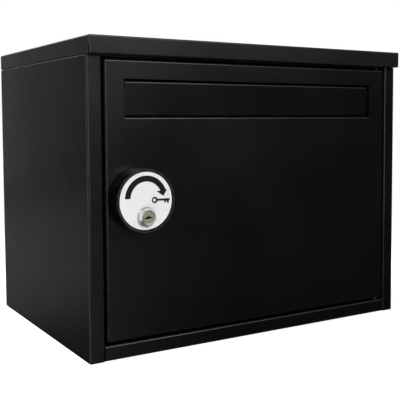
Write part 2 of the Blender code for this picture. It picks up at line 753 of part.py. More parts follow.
def build_latch_mount(door):
    """Base ring, bush and nut that hold the knob's spindle in the door."""
    centre = (KNOB_X, FRONT, KNOB_Z)
    profile = [
        (BASE_BORE, BASE_FRONT),
        (BASE_RADIUS - 0.0008, BASE_FRONT),
        (BASE_RADIUS, BASE_FRONT - 0.0008),
        (BASE_RADIUS, GAP),
        (BASE_BORE, GAP),
    ]
    add_turned("knob_base_ring", profile, centre, BLACK_PLASTIC, door, True, 48)
    profile = [
        (BUSH_BORE, BASE_FRONT),
        (BUSH_FLANGE, BASE_FRONT),
        (BUSH_FLANGE, GAP),
        (BUSH_RADIUS, GAP),
        (BUSH_RADIUS, -BUSH_LENGTH),
        (BUSH_BORE, -BUSH_LENGTH),
    ]
    add_turned("latch_bush", profile, centre, STEEL, door, True, 32)
    near = SHEET + GAP
    hexagon = circle_points(BUSH_NUT_RADIUS, 6)
    add_plate(
        "bush_nut", hexagon, near, near + NUT_THICKNESS, STEEL, door, (KNOB_X, KNOB_Z), BUSH_HOLE
    )


def build_knob(knob):
    """Hollow round knob with a raised rim round its seat for the disc."""
    centre = (KNOB_X, FRONT, KNOB_Z)
    seat = DISC_FRONT - DISC_THICKNESS - GAP
    inner = KNOB_RADIUS - KNOB_WALL
    profile = [
        (0.0, seat),
        (DISC_RADIUS + GAP, seat),
        (DISC_RADIUS + GAP, KNOB_FRONT - 0.0004),
        (DISC_RADIUS + 0.0009, KNOB_FRONT),
        (KNOB_RADIUS - 0.0016, KNOB_FRONT),
        (KNOB_RADIUS - 0.0005, KNOB_FRONT - 0.0006),
        (KNOB_RADIUS, KNOB_FRONT - 0.0020),
        (KNOB_RADIUS, KNOB_BACK),
        (inner, KNOB_BACK),
        (inner, seat - KNOB_WALL),
        (0.0, seat - KNOB_WALL),
    ]
    body = add_turned("knob_body", profile, centre, BLACK_PLASTIC, knob, True, 48)
    profile = [
        (0.0, DISC_FRONT),
        (DISC_RADIUS, DISC_FRONT),
        (DISC_RADIUS, DISC_FRONT - DISC_THICKNESS),
        (0.0, DISC_FRONT - DISC_THICKNESS),
    ]
    disc = add_turned("knob_disc", profile, centre, WHITE_PLATE, knob, True, 48)
    lock_z = KNOB_Z - BARREL_DROP
    reach = ((KNOB_X, FRONT - 0.028, lock_z), (KNOB_X, FRONT - 0.004, lock_z))
    hole = rod_cutter("barrel_hole", *reach, BARREL_SHANK + GAP, 32)
    cut(body, hole)
    cut(disc, hole)


def build_latch(knob):
    """Spindle, cam lever and nut on the back of the knob; the lever hangs down at rest."""
    centre = (KNOB_X, FRONT, KNOB_Z)
    front_end = DISC_FRONT - DISC_THICKNESS - GAP - KNOB_WALL - GAP
    profile = [
        (0.0, front_end),
        (SPINDLE_RADIUS, front_end),
        (SPINDLE_RADIUS, -LEVER_FAR + 0.0002),
        (STUD_RADIUS, -LEVER_FAR + 0.0002),
        (STUD_RADIUS, -LEVER_FAR - NUT_THICKNESS - 0.0020),
        (0.0, -LEVER_FAR - NUT_THICKNESS - 0.0020),
    ]
    add_turned("latch_spindle", profile, centre, STEEL, knob, True, 32)
    half = LEVER_WIDTH / 2
    narrow = half * LEVER_TAPER
    low_end = LEVER_REACH - narrow
    outline = [(half * math.cos(a), half * math.sin(a)) for a in arc_angles(0.0, math.pi, 12)]
    outline += [
        (narrow * math.cos(a), -low_end + narrow * math.sin(a))
        for a in arc_angles(math.pi, 2 * math.pi, 12)
    ]
    add_plate(
        "cam_lever", outline, LEVER_NEAR, LEVER_FAR, STEEL, knob, (KNOB_X, KNOB_Z), SPINDLE_RADIUS + GAP
    )
    near = LEVER_FAR + GAP
    add_plate(
        "lever_nut",
        circle_points(LEVER_NUT_RADIUS, 6),
        near,
        near + NUT_THICKNESS,
        STEEL,
        knob,
        (KNOB_X, KNOB_Z),
        STUD_RADIUS + GAP,
    )


def arc_angles(start, end, count):
    return [start + (end - start) * step / count for step in range(count + 1)]


def build_lock(knob, key):
    """Lock barrel in the knob and the plug that the key turns."""
    centre = (KNOB_X, FRONT, KNOB_Z - BARREL_DROP)
    seat = DISC_FRONT + GAP
    shank_end = KNOB_BACK + 0.006
    profile = [
        (LOCK_PLUG_BORE, LOCK_REACH),
        (BARREL_FACE - 0.0006, LOCK_REACH),
        (BARREL_FACE, LOCK_REACH - 0.0005),
        (BARREL_BASE - 0.0002, seat + 0.0018),
        (BARREL_BASE, seat + 0.0010),
        (BARREL_BASE, seat),
        (BARREL_SHANK, seat),
        (BARREL_SHANK, shank_end),
        (LOCK_PLUG_BORE, shank_end),
    ]
    add_turned("lock_barrel", profile, centre, CHROME, knob, True, 40)
    plug_front = LOCK_REACH - LOCK_PLUG_RECESS
    plug_end = shank_end - GAP
    profile = [
        (0.0, plug_front),
        (LOCK_PLUG_RADIUS - 0.0003, plug_front),
        (LOCK_PLUG_RADIUS, plug_front - 0.0003),
        (LOCK_PLUG_RADIUS, plug_end),
        (0.0, plug_end),
    ]
    plug = add_turned("key_plug", profile, centre, BRASS, key, True, 32)
    keyway_front = FRONT - LOCK_REACH
    low = (KNOB_X - KEYWAY_WIDTH / 2, keyway_front - 0.01, centre[2] - KEYWAY_HEIGHT / 2)
    high = (KNOB_X + KEYWAY_WIDTH / 2, keyway_front + KEYWAY_DEPTH, centre[2] + KEYWAY_HEIGHT / 2)
    cut(plug, box_cutter("keyway", low, high))
    outline = [(-0.003, -0.003), (0.003, -0.003), (0.003, 0.010), (-0.003, 0.010)]
    near = GAP - plug_end
    pawl_centre = (KNOB_X, centre[2])
    add_plate("lock_pawl", outline, near, near + PAWL_THICKNESS, STEEL, key, pawl_centre)


def main():
    clear_scene()
    make_collection(COLLECTION_NAME)
    cutters = make_collection(CUTTER_COLLECTION_NAME)
    cutters.hide_render = True

    build_side_panel("left_side_panel", -1)
    build_side_panel("right_side_panel", 1)
    build_bottom_panel()
    build_back_panel()
    build_lid()
    build_top_angles()
    build_lid_screws()
    build_front_top_rail()
    build_hinge_pins()
    build_door_bumpers()

    door = add_joint_empty("door_hinge_axis", (HINGE_X, HINGE_Y, 0.0))
    build_door_panel(door)
    build_door_stiffeners(door)
    build_flap_brackets(door)
    build_latch_mount(door)

    flap = add_joint_empty("flap_hinge_axis", (0.0, FLAP_AXIS_Y, FLAP_AXIS_Z), door)
    build_flap(flap)
    build_flap_hinge(flap)
    build_flap_spring(flap)

    knob = add_joint_empty("knob_axis", (KNOB_X, FRONT, KNOB_Z), door)
    build_knob(knob)
    build_latch(knob)
    key = add_joint_empty("key_axis", (KNOB_X, FRONT, KNOB_Z - BARREL_DROP), knob)
    build_lock(knob, key)


main()
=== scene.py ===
"""Looks of the steel parcel drop box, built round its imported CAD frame. Metres, +Z up, front at -Y."""

import json
import math

import bmesh
import bpy
from mathutils import Matrix, Vector


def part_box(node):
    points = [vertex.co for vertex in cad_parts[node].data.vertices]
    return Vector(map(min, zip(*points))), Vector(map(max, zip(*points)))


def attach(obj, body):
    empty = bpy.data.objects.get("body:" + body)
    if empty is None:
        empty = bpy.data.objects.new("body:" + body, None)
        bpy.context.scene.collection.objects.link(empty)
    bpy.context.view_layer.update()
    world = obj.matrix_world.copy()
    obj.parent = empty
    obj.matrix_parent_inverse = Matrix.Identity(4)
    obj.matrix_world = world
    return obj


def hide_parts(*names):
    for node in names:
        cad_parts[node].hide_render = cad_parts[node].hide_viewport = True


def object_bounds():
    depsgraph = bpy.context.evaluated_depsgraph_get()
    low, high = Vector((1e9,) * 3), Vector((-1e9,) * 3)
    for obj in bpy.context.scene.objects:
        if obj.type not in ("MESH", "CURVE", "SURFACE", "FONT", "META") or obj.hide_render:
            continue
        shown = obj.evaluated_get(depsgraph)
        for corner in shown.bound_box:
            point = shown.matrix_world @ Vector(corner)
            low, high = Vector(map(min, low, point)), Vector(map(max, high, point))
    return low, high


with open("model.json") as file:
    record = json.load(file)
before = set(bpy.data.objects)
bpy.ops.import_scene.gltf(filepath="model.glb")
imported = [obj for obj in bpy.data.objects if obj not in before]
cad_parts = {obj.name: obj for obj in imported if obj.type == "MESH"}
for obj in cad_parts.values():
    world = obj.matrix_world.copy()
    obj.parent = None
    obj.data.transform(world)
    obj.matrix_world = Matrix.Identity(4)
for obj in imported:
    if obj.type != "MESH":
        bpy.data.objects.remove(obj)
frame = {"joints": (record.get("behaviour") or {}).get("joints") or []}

cad_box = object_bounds()


def joint_place(name):
    joint = next(joint for joint in frame["joints"] if joint["name"] == name)
    return Vector(joint["pos_m"])


def middle_of(node):
    low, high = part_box(node)
    return (low + high) / 2


# Driving places, read from the frame.
SIDE_LOW, SIDE_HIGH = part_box("left_side_panel")
BACK_LOW, BACK_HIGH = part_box("back_panel")
FLOOR_LOW, FLOOR_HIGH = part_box("bottom_panel")
LID_LOW, LID_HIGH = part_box("lid")
HEAD_LOW, HEAD_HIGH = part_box("front_top_rail")
DOOR_LOW, DOOR_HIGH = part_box("door_panel")
FLAP_LOW, FLAP_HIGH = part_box("letter_flap")
LEFT = SIDE_LOW.x
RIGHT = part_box("right_side_panel")[1].x
FRONT = SIDE_LOW.y
BACK = BACK_HIGH.y
BODY_TOP = HEAD_HIGH.z
LID_FALL = BACK_HIGH.z - BODY_TOP
BODY_WIDTH = RIGHT - LEFT
STILE_WIDTH = SIDE_HIGH.x - LEFT
SHEET = BACK_HIGH.y - BACK_LOW.y
DOOR_HINGE = joint_place("door_hinge")
FLAP_HINGE = joint_place("flap_hinge")
KNOB = joint_place("knob_turn")
LOCK = joint_place("key_turn")
LOCK_FRONT = FRONT - cad_box[0].y
PLUG_PLACES = [middle_of(f"mounting_plug_{number}") for number in (1, 2, 3, 4)]
SCREW_PLACES = [middle_of(f"lid_screw_{number}") for number in (1, 2, 3, 4)]

# Sheet metal, as the CAD folds it.
LID_SHEET = 0.0012
FLAP_SHEET = 0.0012
GAP = 0.0003
BEND_RADIUS = 0.0022
LID_BEND = 0.0016
BEND_STEPS = 8
EDGE_ROUND = 0.0002
FLAT_CORNER = 0.00001
MERGE = 0.000002
SIDE_ROLL = 0.0010
LID_SEAM_HEIGHT = 0.009
LID_SEAM_WIDTH = 0.0010
STILE_RETURN = 0.016
REAR_FLANGE = 0.014
RAIL_RETURN = 0.014
LID_RETURN = 0.010
FLOOR_UPSTAND = 0.015
PIN_HOLE = 0.0028
PIN_RADIUS = 0.0025
PIN_HEAD = 0.0036
WASHER_RADIUS = 0.0041
PLUG_HOLE = 0.0040
SCREW_HOLE = 0.0023
SCREW_RADIUS = 0.0019

# Letter slot and flap.
FLAP_SIDE_LAP = 0.003
FLAP_NOTCH = 0.002
FLAP_TILT = 0.0020
SLOT_LEFT = FLAP_LOW.x + FLAP_SIDE_LAP
SLOT_RIGHT = FLAP_HIGH.x - FLAP_SIDE_LAP
SLOT_BOTTOM = FLAP_LOW.z - 0.0019
SLOT_TOP = FLAP_HIGH.z + 0.002
SLOT_LIP = 0.008
ROD_RADIUS = 0.0015
ROD_HOLE = 0.0018
RIVET_RADIUS = 0.0022

# Knob, measured out of the cabinet's front plane.
KNOB_RADIUS = 0.0343
KNOB_FRONT = 0.0226
KNOB_BACK = 0.0026
KNOB_WALL = 0.0025
DISC_RADIUS = 0.0308
DISC_FRONT = 0.0220
DISC_THICKNESS = 0.0006
RING_RADIUS = 0.0330
RING_FRONT = 0.0023
BARREL_SHANK = 0.0089
BARREL_FACE = 0.0084
LOCK_PLUG_RADIUS = 0.0071
KEYWAY_DEPTH = 0.012
# Depth of a black disc inside the lock plug: painted shade seen through the keyway.
SHADE_PLATE_DEPTH = 0.001
BUSH_HOLE = 0.0110
BUSH_RADIUS = 0.0107
SPINDLE_RADIUS = 0.0060
SPINDLE_HOLE = 0.0063
STUD_RADIUS = 0.0040
LEVER_HALF_WIDTH = 0.008
INK_THICKNESS = 0.00006
INK_GAP = 0.00002
INK_EDGE = 0.00001

# Camera: a studio shot from the front left, a little over half the cabinet's width high.
LENS = 66.6
CAMERA_OFFSET = Vector((-0.6722, -1.6316, 0.5790))
CAMERA_YAW = 31.07
CAMERA_PITCH = 3.56
CAMERA_ROLL = -0.32
CAMERA_SHIFT_X = -0.0005
CAMERA_SHIFT_Y = -0.078


def link_object(name, data):
    obj = bpy.data.objects.new(name, data)
    bpy.context.scene.collection.objects.link(obj)
    return obj


def make_camera():
    data = bpy.data.cameras.new("camera")
    data.lens = LENS
    data.sensor_width = 36.0
    data.shift_x = CAMERA_SHIFT_X
    data.shift_y = CAMERA_SHIFT_Y
    data.clip_end = 50.0
    camera = link_object("camera", data)
    camera.location = Vector((LEFT, FRONT, 0.0)) + CAMERA_OFFSET * BODY_WIDTH
    turn = Matrix.Rotation(math.radians(-CAMERA_YAW), 4, "Z")
    pitch = Matrix.Rotation(math.radians(90 - CAMERA_PITCH), 4, "X")
    roll = Matrix.Rotation(math.radians(CAMERA_ROLL), 4, "Z")
    camera.rotation_euler = (turn @ pitch @ roll).to_euler()
    bpy.context.scene.camera = camera


def make_area_light(name, location, target, size, power):
    data = bpy.data.lights.new(name, "AREA")
    data.shape = "RECTANGLE"
    data.size, data.size_y = size
    data.energy = power
    light = link_object(name, data)
    light.location = location
    light.visible_camera = False
    direction = Vector(target) - Vector(location)
    light.rotation_euler = direction.to_track_quat("-Z", "Y").to_euler()


def make_lights():
    """Soft boxes round the object: strong from above the back, soft from the front, faint behind."""
    middle = (0.0, 0.0, 0.2)
    low_side = (-0.2, 0.1, 0.1)
    square = (1.1, 1.1)
    make_area_light("top_back", (-0.803, 1.391, 2.494), middle, square, 225.0)
    make_area_light("back_high", (-0.437, 2.478, 1.427), middle, (0.9, 0.9), 7.3)
    make_area_light("back_low", (-0.485, 2.751, 0.395), middle, (0.9, 0.9), 0.9)
    make_area_light("front_left", (-1.236, -2.141, 1.515), middle, square, 3.2)
    make_area_light("front_low", (-0.244, -2.788, 0.298), middle, square, 11.4)
    make_area_light("front_right", (0.846, -2.323, 1.515), middle, square, 23.7)
    make_area_light("right", (1.748, -1.748, 1.515), middle, square, 2.8)
    make_area_light("corner", (-0.45, -0.5, 0.55), (-0.2, -0.14, 0.33), (0.25, 0.12), 0.55)
    # A tall card at the left for the chromed lock, and low cards that stand for the pale ground:
    # these reach the object only as reflections from under the floor's level.
    make_area_light("left_card", (-1.3, 0.05, 0.25), (LOCK.x, FRONT, LOCK.z), (0.7, 1.5), 5.0)
    make_area_light("ground_card_front", (0.30, -1.75, -0.5), (-0.15, -0.14, 0.05), (0.5, 0.3), 0.17)
    make_area_light("ground_card_left", (-1.1, 2.3, -0.35), low_side, (0.9, 0.5), 0.19)
    make_area_light("ground_card_back", (-0.673, 2.511, -0.35), middle, (0.9, 0.6), 0.13)


def light_path_mix(tree, output, seen, other):
    """Show one shader to the camera and another one to every other ray."""
    mix = add_node(tree, "ShaderNodeMixShader")
    connect(add_node(tree, "ShaderNodeLightPath").outputs["Is Camera Ray"], mix.inputs[0])
    connect(other, mix.inputs[1])
    connect(seen, mix.inputs[2])
    connect(mix.outputs[0], output.inputs["Surface"])


def make_world():
    """White backdrop with next to no light of its own."""
    world = bpy.data.worlds.new("studio")
    bpy.context.scene.world = world
    world.use_nodes = True
    tree = world.node_tree
    tree.nodes.clear()
    output = add_node(tree, "ShaderNodeOutputWorld")
    seen = add_node(tree, "ShaderNodeBackground", Color=(1, 1, 1, 1))
    fill = add_node(tree, "ShaderNodeBackground", Color=(0.93, 0.96, 1.0, 1), Strength=0.012)
    light_path_mix(tree, output, seen.outputs[0], fill.outputs[0])


def mix_shaders(tree, factor, first, second):
    mix = add_node(tree, "ShaderNodeMixShader")
    connect(factor, mix.inputs[0])
    connect(first.outputs[0], mix.inputs[1])
    connect(second.outputs[0], mix.inputs[2])
    return mix


def make_floor():
    """Pale floor that fades out away from the object and reads as the same white as the backdrop."""
    bm = bmesh.new()
    bmesh.ops.create_grid(bm, x_segments=1, y_segments=1, size=4.0)
    floor = link_mesh("floor", bm)
    floor.location.z = cad_box[0].z - 0.0005
    floor.visible_glossy = False
    material = bpy.data.materials.new("floor_white")
    material.use_nodes = True
    tree = material.node_tree
    tree.nodes.clear()
    output = add_node(tree, "ShaderNodeOutputMaterial")
    clear = add_node(tree, "ShaderNodeBsdfTransparent")
    geometry = add_node(tree, "ShaderNodeNewGeometry")
    length = add_node(tree, "ShaderNodeVectorMath", "LENGTH")
    fade = add_node(tree, "ShaderNodeMapRange", From_Min=0.35, From_Max=1.1)
    fade.interpolation_type = "SMOOTHSTEP"
    connect(geometry.outputs["Position"], length.inputs[0])
    connect(length.outputs["Value"], fade.inputs["Value"])
    diffuse = add_node(tree, "ShaderNodeBsdfDiffuse", Color=(0.85, 0.85, 0.85, 1))
    paper = mix_shaders(tree, fade.outputs["Result"], diffuse, clear)
    glow = add_node(tree, "ShaderNodeEmission", Strength=0.93)
    lit = add_node(tree, "ShaderNodeBsdfDiffuse", Color=(0.30, 0.30, 0.30, 1))
    both = add_node(tree, "ShaderNodeAddShader")
    connect(glow.outputs[0], both.inputs[0])
    connect(lit.outputs[0], both.inputs[1])
    seen = mix_shaders(tree, fade.outputs["Result"], both, clear)
    light_path_mix(tree, output, seen.outputs[0], paper.outputs[0])
    floor.data.materials.append(material)


def set_view():
    scene = bpy.context.scene
    scene.view_settings.view_transform = "Standard"
    scene.view_settings.look = "None"


# Materials.


def new_material(name):
    """Node material with a Principled shader; returns the material, its tree and the shader."""
    material = bpy.data.materials.new(name)
    material.use_nodes = True
    tree = material.node_tree
    return material, tree, tree.nodes["Principled BSDF"]


def connect(output, *inputs):
    """Link a socket to others in its own tree."""
    for socket in inputs:
        output.id_data.links.new(output, socket)


def add_node(tree, kind, operation=None, **values):
    """New node with its sockets set; a space in a socket's name is given as an underscore."""
    node = tree.nodes.new(kind)
    if operation:
        node.operation = operation
    for socket, value in values.items():
        node.inputs[socket.replace("_", " ")].default_value = value
    return node


def object_place(tree, centre=(0.0, 0.0, 0.0), stretch=(1.0, 1.0, 1.0)):
    """Position on the object about a centre, stretched so that noise runs along one way."""
    place = add_node(tree, "ShaderNodeTexCoord")
    moved = add_node(tree, "ShaderNodeVectorMath", "SUBTRACT")
    moved.inputs[1].default_value = centre
    scaled = add_node(tree, "ShaderNodeVectorMath", "MULTIPLY")
    scaled.inputs[1].default_value = stretch
    connect(place.outputs["Object"], moved.inputs[0])
    connect(moved.outputs[0], scaled.inputs[0])
    return scaled.outputs[0]


def object_noise(tree, scale, detail=2.0, roughness=0.5, stretch=(1.0, 1.0, 1.0)):
    """3D noise fixed to the object, scale in features per metre."""
    noise = add_node(tree, "ShaderNodeTexNoise", Scale=scale, Detail=detail, Roughness=roughness)
    connect(object_place(tree, stretch=stretch), noise.inputs["Vector"])
    return noise.outputs["Fac"]


def map_range(value, low, high, from_low=0.0, from_high=1.0):
    limits = {"From_Min": from_low, "From_Max": from_high, "To_Min": low, "To_Max": high}
    node = add_node(value.id_data, "ShaderNodeMapRange", **limits)
    connect(value, node.inputs["Value"])
    return node.outputs["Result"]


def combine(operation, first, second):
    node = add_node(first.id_data, "ShaderNodeMath", operation)
    connect(first, node.inputs[0])
    connect(second, node.inputs[1])
    return node.outputs[0]


def mix_colours(factor, first, second):
    """Mix of two colours, each a tuple or a socket."""
    mix = add_node(factor.id_data, "ShaderNodeMix")
    mix.data_type = "RGBA"
    connect(factor, mix.inputs["Factor"])
    for value, socket in ((first, mix.inputs[6]), (second, mix.inputs[7])):
        if isinstance(value, tuple):
            socket.default_value = (*value, 1.0)
        else:
            connect(value, socket)
    return mix.outputs[2]


def add_bump(shader, height, distance, after=None):
    bump = add_node(shader.id_data, "ShaderNodeBump", Distance=distance)
    connect(height, bump.inputs["Height"])
    if after:
        connect(after, bump.inputs["Normal"])
    connect(bump.outputs["Normal"], shader.inputs["Normal"])
    return bump.outputs["Normal"]


def set_surface(shader, colour, rough, metallic=0.0):
    connect(colour, shader.inputs["Base Color"])
    connect(rough, shader.inputs["Roughness"])
    shader.inputs["Metallic"].default_value = metallic


def edge_amount(tree, patches_scale=160.0, low=0.35, high=0.7):
    """How worn a point is: broken patches along bends and rounded edges."""
    edge = add_node(tree, "ShaderNodeAttribute")
    edge.attribute_name = "edge_wear"
    patches = map_range(object_noise(tree, patches_scale), 0.0, 1.0, low, high)
    return combine("MULTIPLY", edge.outputs["Fac"], patches)


def powder_coat(name, dark, pale):
    """Satin powder coat: fine orange peel, faint clouding and paler worn edges."""
    material, tree, shader = new_material(name)
    clouds = object_noise(tree, 9.0, 3.0)
    grain = object_noise(tree, 2600.0, 1.0)
    peel = object_noise(tree, 620.0, 2.0)
    colour = mix_colours(clouds, dark, pale)
    speck = map_range(object_noise(tree, 1500.0, 0.0), 0.0, 0.6, 0.72, 0.80)
    colour = mix_colours(speck, colour, (0.007, 0.007, 0.008))
    colour = mix_colours(edge_amount(tree), colour, (0.016, 0.016, 0.017))
    smooth = map_range(clouds, 0.25, 0.31, 0.3, 0.7)
    set_surface(shader, colour, combine("ADD", smooth, map_range(grain, -0.03, 0.03)))
    normal = add_bump(shader, peel, 0.00003)
    add_bump(shader, grain, 0.000008, after=normal)
    return material


def zinc_steel():
    """Zinc-plated steel: soft spangle, a blue to straw tint and fine rolling lines."""
    material, tree, shader = new_material("zinc_plated_steel")
    tint = object_noise(tree, 45.0, 2.0)
    spangle = object_noise(tree, 420.0, 2.0)
    lines = object_noise(tree, 900.0, 1.0, stretch=(0.06, 1.0, 1.0))
    colour = mix_colours(tint, (0.44, 0.46, 0.49), (0.57, 0.55, 0.48))
    colour = mix_colours(map_range(spangle, 0.0, 0.5, 0.4, 0.7), colour, (0.66, 0.66, 0.64))
    colour = mix_colours(edge_amount(tree, 400.0), colour, (0.75, 0.75, 0.74))
    set_surface(shader, colour, map_range(spangle, 0.26, 0.44), 1.0)
    add_bump(shader, lines, 0.00001)
    return material


def chrome_plate():
    """Chrome with a trace of handling marks."""
    material, tree, shader = new_material("chrome_plate")
    smudge = object_noise(tree, 220.0, 3.0)
    scratches = object_noise(tree, 2500.0, 1.0, stretch=(1.0, 0.08, 1.0))
    colour = mix_colours(smudge, (0.84, 0.85, 0.86), (0.93, 0.93, 0.93))
    set_surface(shader, colour, map_range(smudge, 0.26, 0.38, 0.3, 0.8), 1.0)
    add_bump(shader, scratches, 0.000003)
    return material


def plug_brass():
    """Nickel-brass lock face with turning rings round the lock's own axis."""
    material, tree, shader = new_material("nickel_brass_turned")
    rings = add_node(tree, "ShaderNodeTexWave", Scale=620.0, Distortion=0.4, Detail=1.0)
    rings.wave_type = "RINGS"
    rings.rings_direction = "Y"
    connect(object_place(tree, tuple(LOCK)), rings.inputs["Vector"])
    tarnish = object_noise(tree, 380.0, 3.0)
    colour = mix_colours(tarnish, (0.78, 0.75, 0.58), (0.90, 0.87, 0.70))
    colour = mix_colours(edge_amount(tree, 900.0, 0.2, 0.5), colour, (0.80, 0.78, 0.66))
    set_surface(shader, colour, map_range(tarnish, 0.30, 0.46), 1.0)
    add_bump(shader, rings.outputs["Fac"], 0.000006)
    return material


def black_plastic(name, dark, pale):
    """Moulded plastic with a faint mould grain and paler worn edges."""
    material, tree, shader = new_material(name)
    clouds = object_noise(tree, 70.0, 3.0)
    grain = object_noise(tree, 1800.0, 2.0)
    colour = mix_colours(clouds, dark, pale)
    colour = mix_colours(edge_amount(tree, 300.0), colour, (0.020, 0.020, 0.021))
    set_surface(shader, colour, map_range(clouds, 0.20, 0.32, 0.3, 0.7))
    shader.inputs["Specular IOR Level"].default_value = 0.25
    add_bump(shader, grain, 0.000006)
    return material


def white_enamel():
    """White lacquered disc, faintly cloudy, with hairline rub marks."""
    material, tree, shader = new_material("white_enamel")
    clouds = object_noise(tree, 60.0, 2.0)
    hair = object_noise(tree, 1400.0, 1.0, stretch=(1.0, 1.0, 0.10))
    colour = mix_colours(clouds, (0.84, 0.84, 0.855), (0.895, 0.895, 0.91))
    rough = combine("ADD", map_range(clouds, 0.28, 0.36), map_range(hair, -0.03, 0.03))
    set_surface(shader, colour, rough)
    add_bump(shader, hair, 0.000004)
    return material


def printed_ink():
    """Screen-printed black ink, matt, slightly uneven in density."""
    material, tree, shader = new_material("printed_ink")
    density = object_noise(tree, 700.0, 3.0)
    colour = mix_colours(density, (0.004, 0.004, 0.004), (0.010, 0.010, 0.009))
    set_surface(shader, colour, map_range(density, 0.45, 0.65))
    shader.inputs["Specular IOR Level"].default_value = 0.2
    add_bump(shader, density, 0.00001)
    return material


def matt_polymer(name, greys, roughs, grain_scale, grain_depth):
    """Rubber or nylon: a matt surface with a moulding grain and a slight bloom."""
    material, tree, shader = new_material(name)
    bloom = object_noise(tree, 90.0, 3.0)
    grain = object_noise(tree, grain_scale, 2.0)
    colour = mix_colours(bloom, (greys[0],) * 3, (greys[1],) * 3)
    set_surface(shader, colour, map_range(bloom, *roughs))
    add_bump(shader, grain, grain_depth)
    return material


# Mesh helpers.


def link_mesh(name, bm):
    mesh = bpy.data.meshes.new(name)
    bm.to_mesh(mesh)
    bm.free()
    return link_object(name, mesh)


def bake(obj):
    """Replace an object by its evaluated mesh in world coordinates; a curve becomes a mesh object."""
    bpy.context.view_layer.update()
    depsgraph = bpy.context.evaluated_depsgraph_get()
    mesh = bpy.data.meshes.new_from_object(obj.evaluated_get(depsgraph), depsgraph=depsgraph)
    mesh.transform(obj.matrix_world)
    name = obj.name
    bpy.data.objects.remove(obj)
    return link_object(name, mesh)


def add_bevel(obj, width, segments, angle=40):
    bevel = obj.modifiers.new("bevel", "BEVEL")
    bevel.width = width
    bevel.segments = segments
    bevel.limit_method = "ANGLE"
    bevel.angle_limit = math.radians(angle)


def cut(obj, cutters, operation="DIFFERENCE"):
    """Cut an object with temporary objects, which are then removed."""
    for cutter in cutters:
        boolean = obj.modifiers.new("cut", "BOOLEAN")
        boolean.operation = operation
        boolean.solver = "EXACT"
        boolean.object = cutter
    made = bake(obj)
    for cutter in cutters:
        bpy.data.objects.remove(cutter)
    tidy_faces(made)
    return made


def tidy_faces(obj, distance=0.000005, straighten=True):
    """Join the loose points, and the straight splits, that a cut or an outline leaves behind."""
    bm = bmesh.new()
    bm.from_mesh(obj.data)
    bmesh.ops.remove_doubles(bm, verts=bm.verts, dist=distance)
    if straighten:
        bmesh.ops.dissolve_limit(bm, angle_limit=math.radians(0.3), verts=bm.verts, edges=bm.edges)
    bm.to_mesh(obj.data)
    bm.free()


def bevel_where(obj, test, width, segments):
    """Round the edges that pass a test."""
    bm = bmesh.new()
    bm.from_mesh(obj.data)
    edges = [edge for edge in bm.edges if test(edge)]
    bmesh.ops.bevel(
        bm, geom=edges, offset=width, segments=segments, affect="EDGES", profile=0.5, clamp_overlap=True
    )
    bm.to_mesh(obj.data)
    bm.free()


def mark_edges(mesh, narrow=0.0006, flat=0.999):
    """Face attribute that is 1 on the narrow slanting faces of bends and rounded edges."""
    attribute = mesh.attributes.new("edge_wear", "FLOAT", "FACE")
    for polygon, item in zip(mesh.polygons, attribute.data):
        points = [mesh.vertices[index].co for index in polygon.vertices]
        longest = max((a - b).length for a, b in zip(points, points[1:] + points[:1]))
        slants = max(abs(part) for part in polygon.normal) < flat
        item.value = 1.0 if slants and polygon.area < narrow * longest else 0.0


def finish_piece(obj, body, replaced, slot="powder_coat", smooth_angle=50, look=None):
    """Shade a finished mesh, parent it to its body's empty and hide the CAD nodes it replaces.

    The look is a name in the finishes, where it isn't simply the slot's own.
    """
    if obj.modifiers:
        obj = bake(obj)
    obj.data.shade_smooth()
    obj.data.set_sharp_from_angle(angle=math.radians(smooth_angle))
    weighted = obj.modifiers.new("normals", "WEIGHTED_NORMAL")
    weighted.keep_sharp = True
    obj = bake(obj)
    mark_edges(obj.data)
    obj.data.materials.clear()
    obj.data.materials.append(finishes[look or slot])
    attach(obj, body)
    if replaced:
        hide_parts(*replaced)


def box_mesh(low, high):
    bm = bmesh.new()
    bmesh.ops.create_cube(bm, size=1.0)
    size = Vector(high) - Vector(low)
    middle = (Vector(high) + Vector(low)) / 2
    bmesh.ops.scale(bm, verts=bm.verts, vec=size)
    bmesh.ops.translate(bm, verts=bm.verts, vec=middle)
    return bm


def box_tool(low, high):
    return link_mesh("tool", box_mesh(low, high))


def rod_tool(start, end, radius, segments=64):
    start = Vector(start)
    end = Vector(end)
    axis = end - start
    bm = bmesh.new()
    bmesh.ops.create_cone(
        bm, cap_ends=True, segments=segments, radius1=radius, radius2=radius, depth=axis.length
    )
    turn = axis.to_track_quat("Z", "Y").to_matrix().to_4x4()
    bmesh.ops.transform(bm, verts=bm.verts, matrix=Matrix.Translation((start + end) / 2) @ turn)
    return link_mesh("tool", bm)


def arc(centre, radius, start, end, steps):
    """Points on an arc; angles in degrees, start and end included."""
    points = []
    for step in range(steps + 1):
        angle = math.radians(start + (end - start) * step / steps)
        points.append((centre[0] + radius * math.cos(angle), centre[1] + radius * math.sin(angle)))
    return points


def circle(radius, steps=64, start=0.0):
    return arc((0.0, 0.0), radius, start, start + 360, steps)[:-1]


def rounded(points, radius, steps=4, closed=False):
    """Round the corners of an outline with short curves of about this radius."""
    made = []
    last = len(points) - 1
    for index, point in enumerate(points):
        corner = Vector(point)
        before = Vector(points[index - 1]) - corner
        after = Vector(points[(index + 1) % len(points)]) - corner
        is_end = not closed and index in (0, last)
        if is_end or before.angle(after) > math.radians(165):
            made.append(tuple(corner))
            continue
        reach = radius / math.tan(before.angle(after) / 2)
        reach = min(reach, before.length * 0.45, after.length * 0.45)
        start = corner + before.normalized() * reach
        end = corner + after.normalized() * reach
        for step in range(steps + 1):
            t = step / steps
            made.append(tuple(start * (1 - t) ** 2 + corner * (2 * t * (1 - t)) + end * t ** 2))
    return made


def tube(inner, outer, top, foot):
    """Profile of a plain ring, or of a solid rod where the inner radius is 0."""
    return [(inner, top), (outer, top), (outer, foot), (inner, foot)]


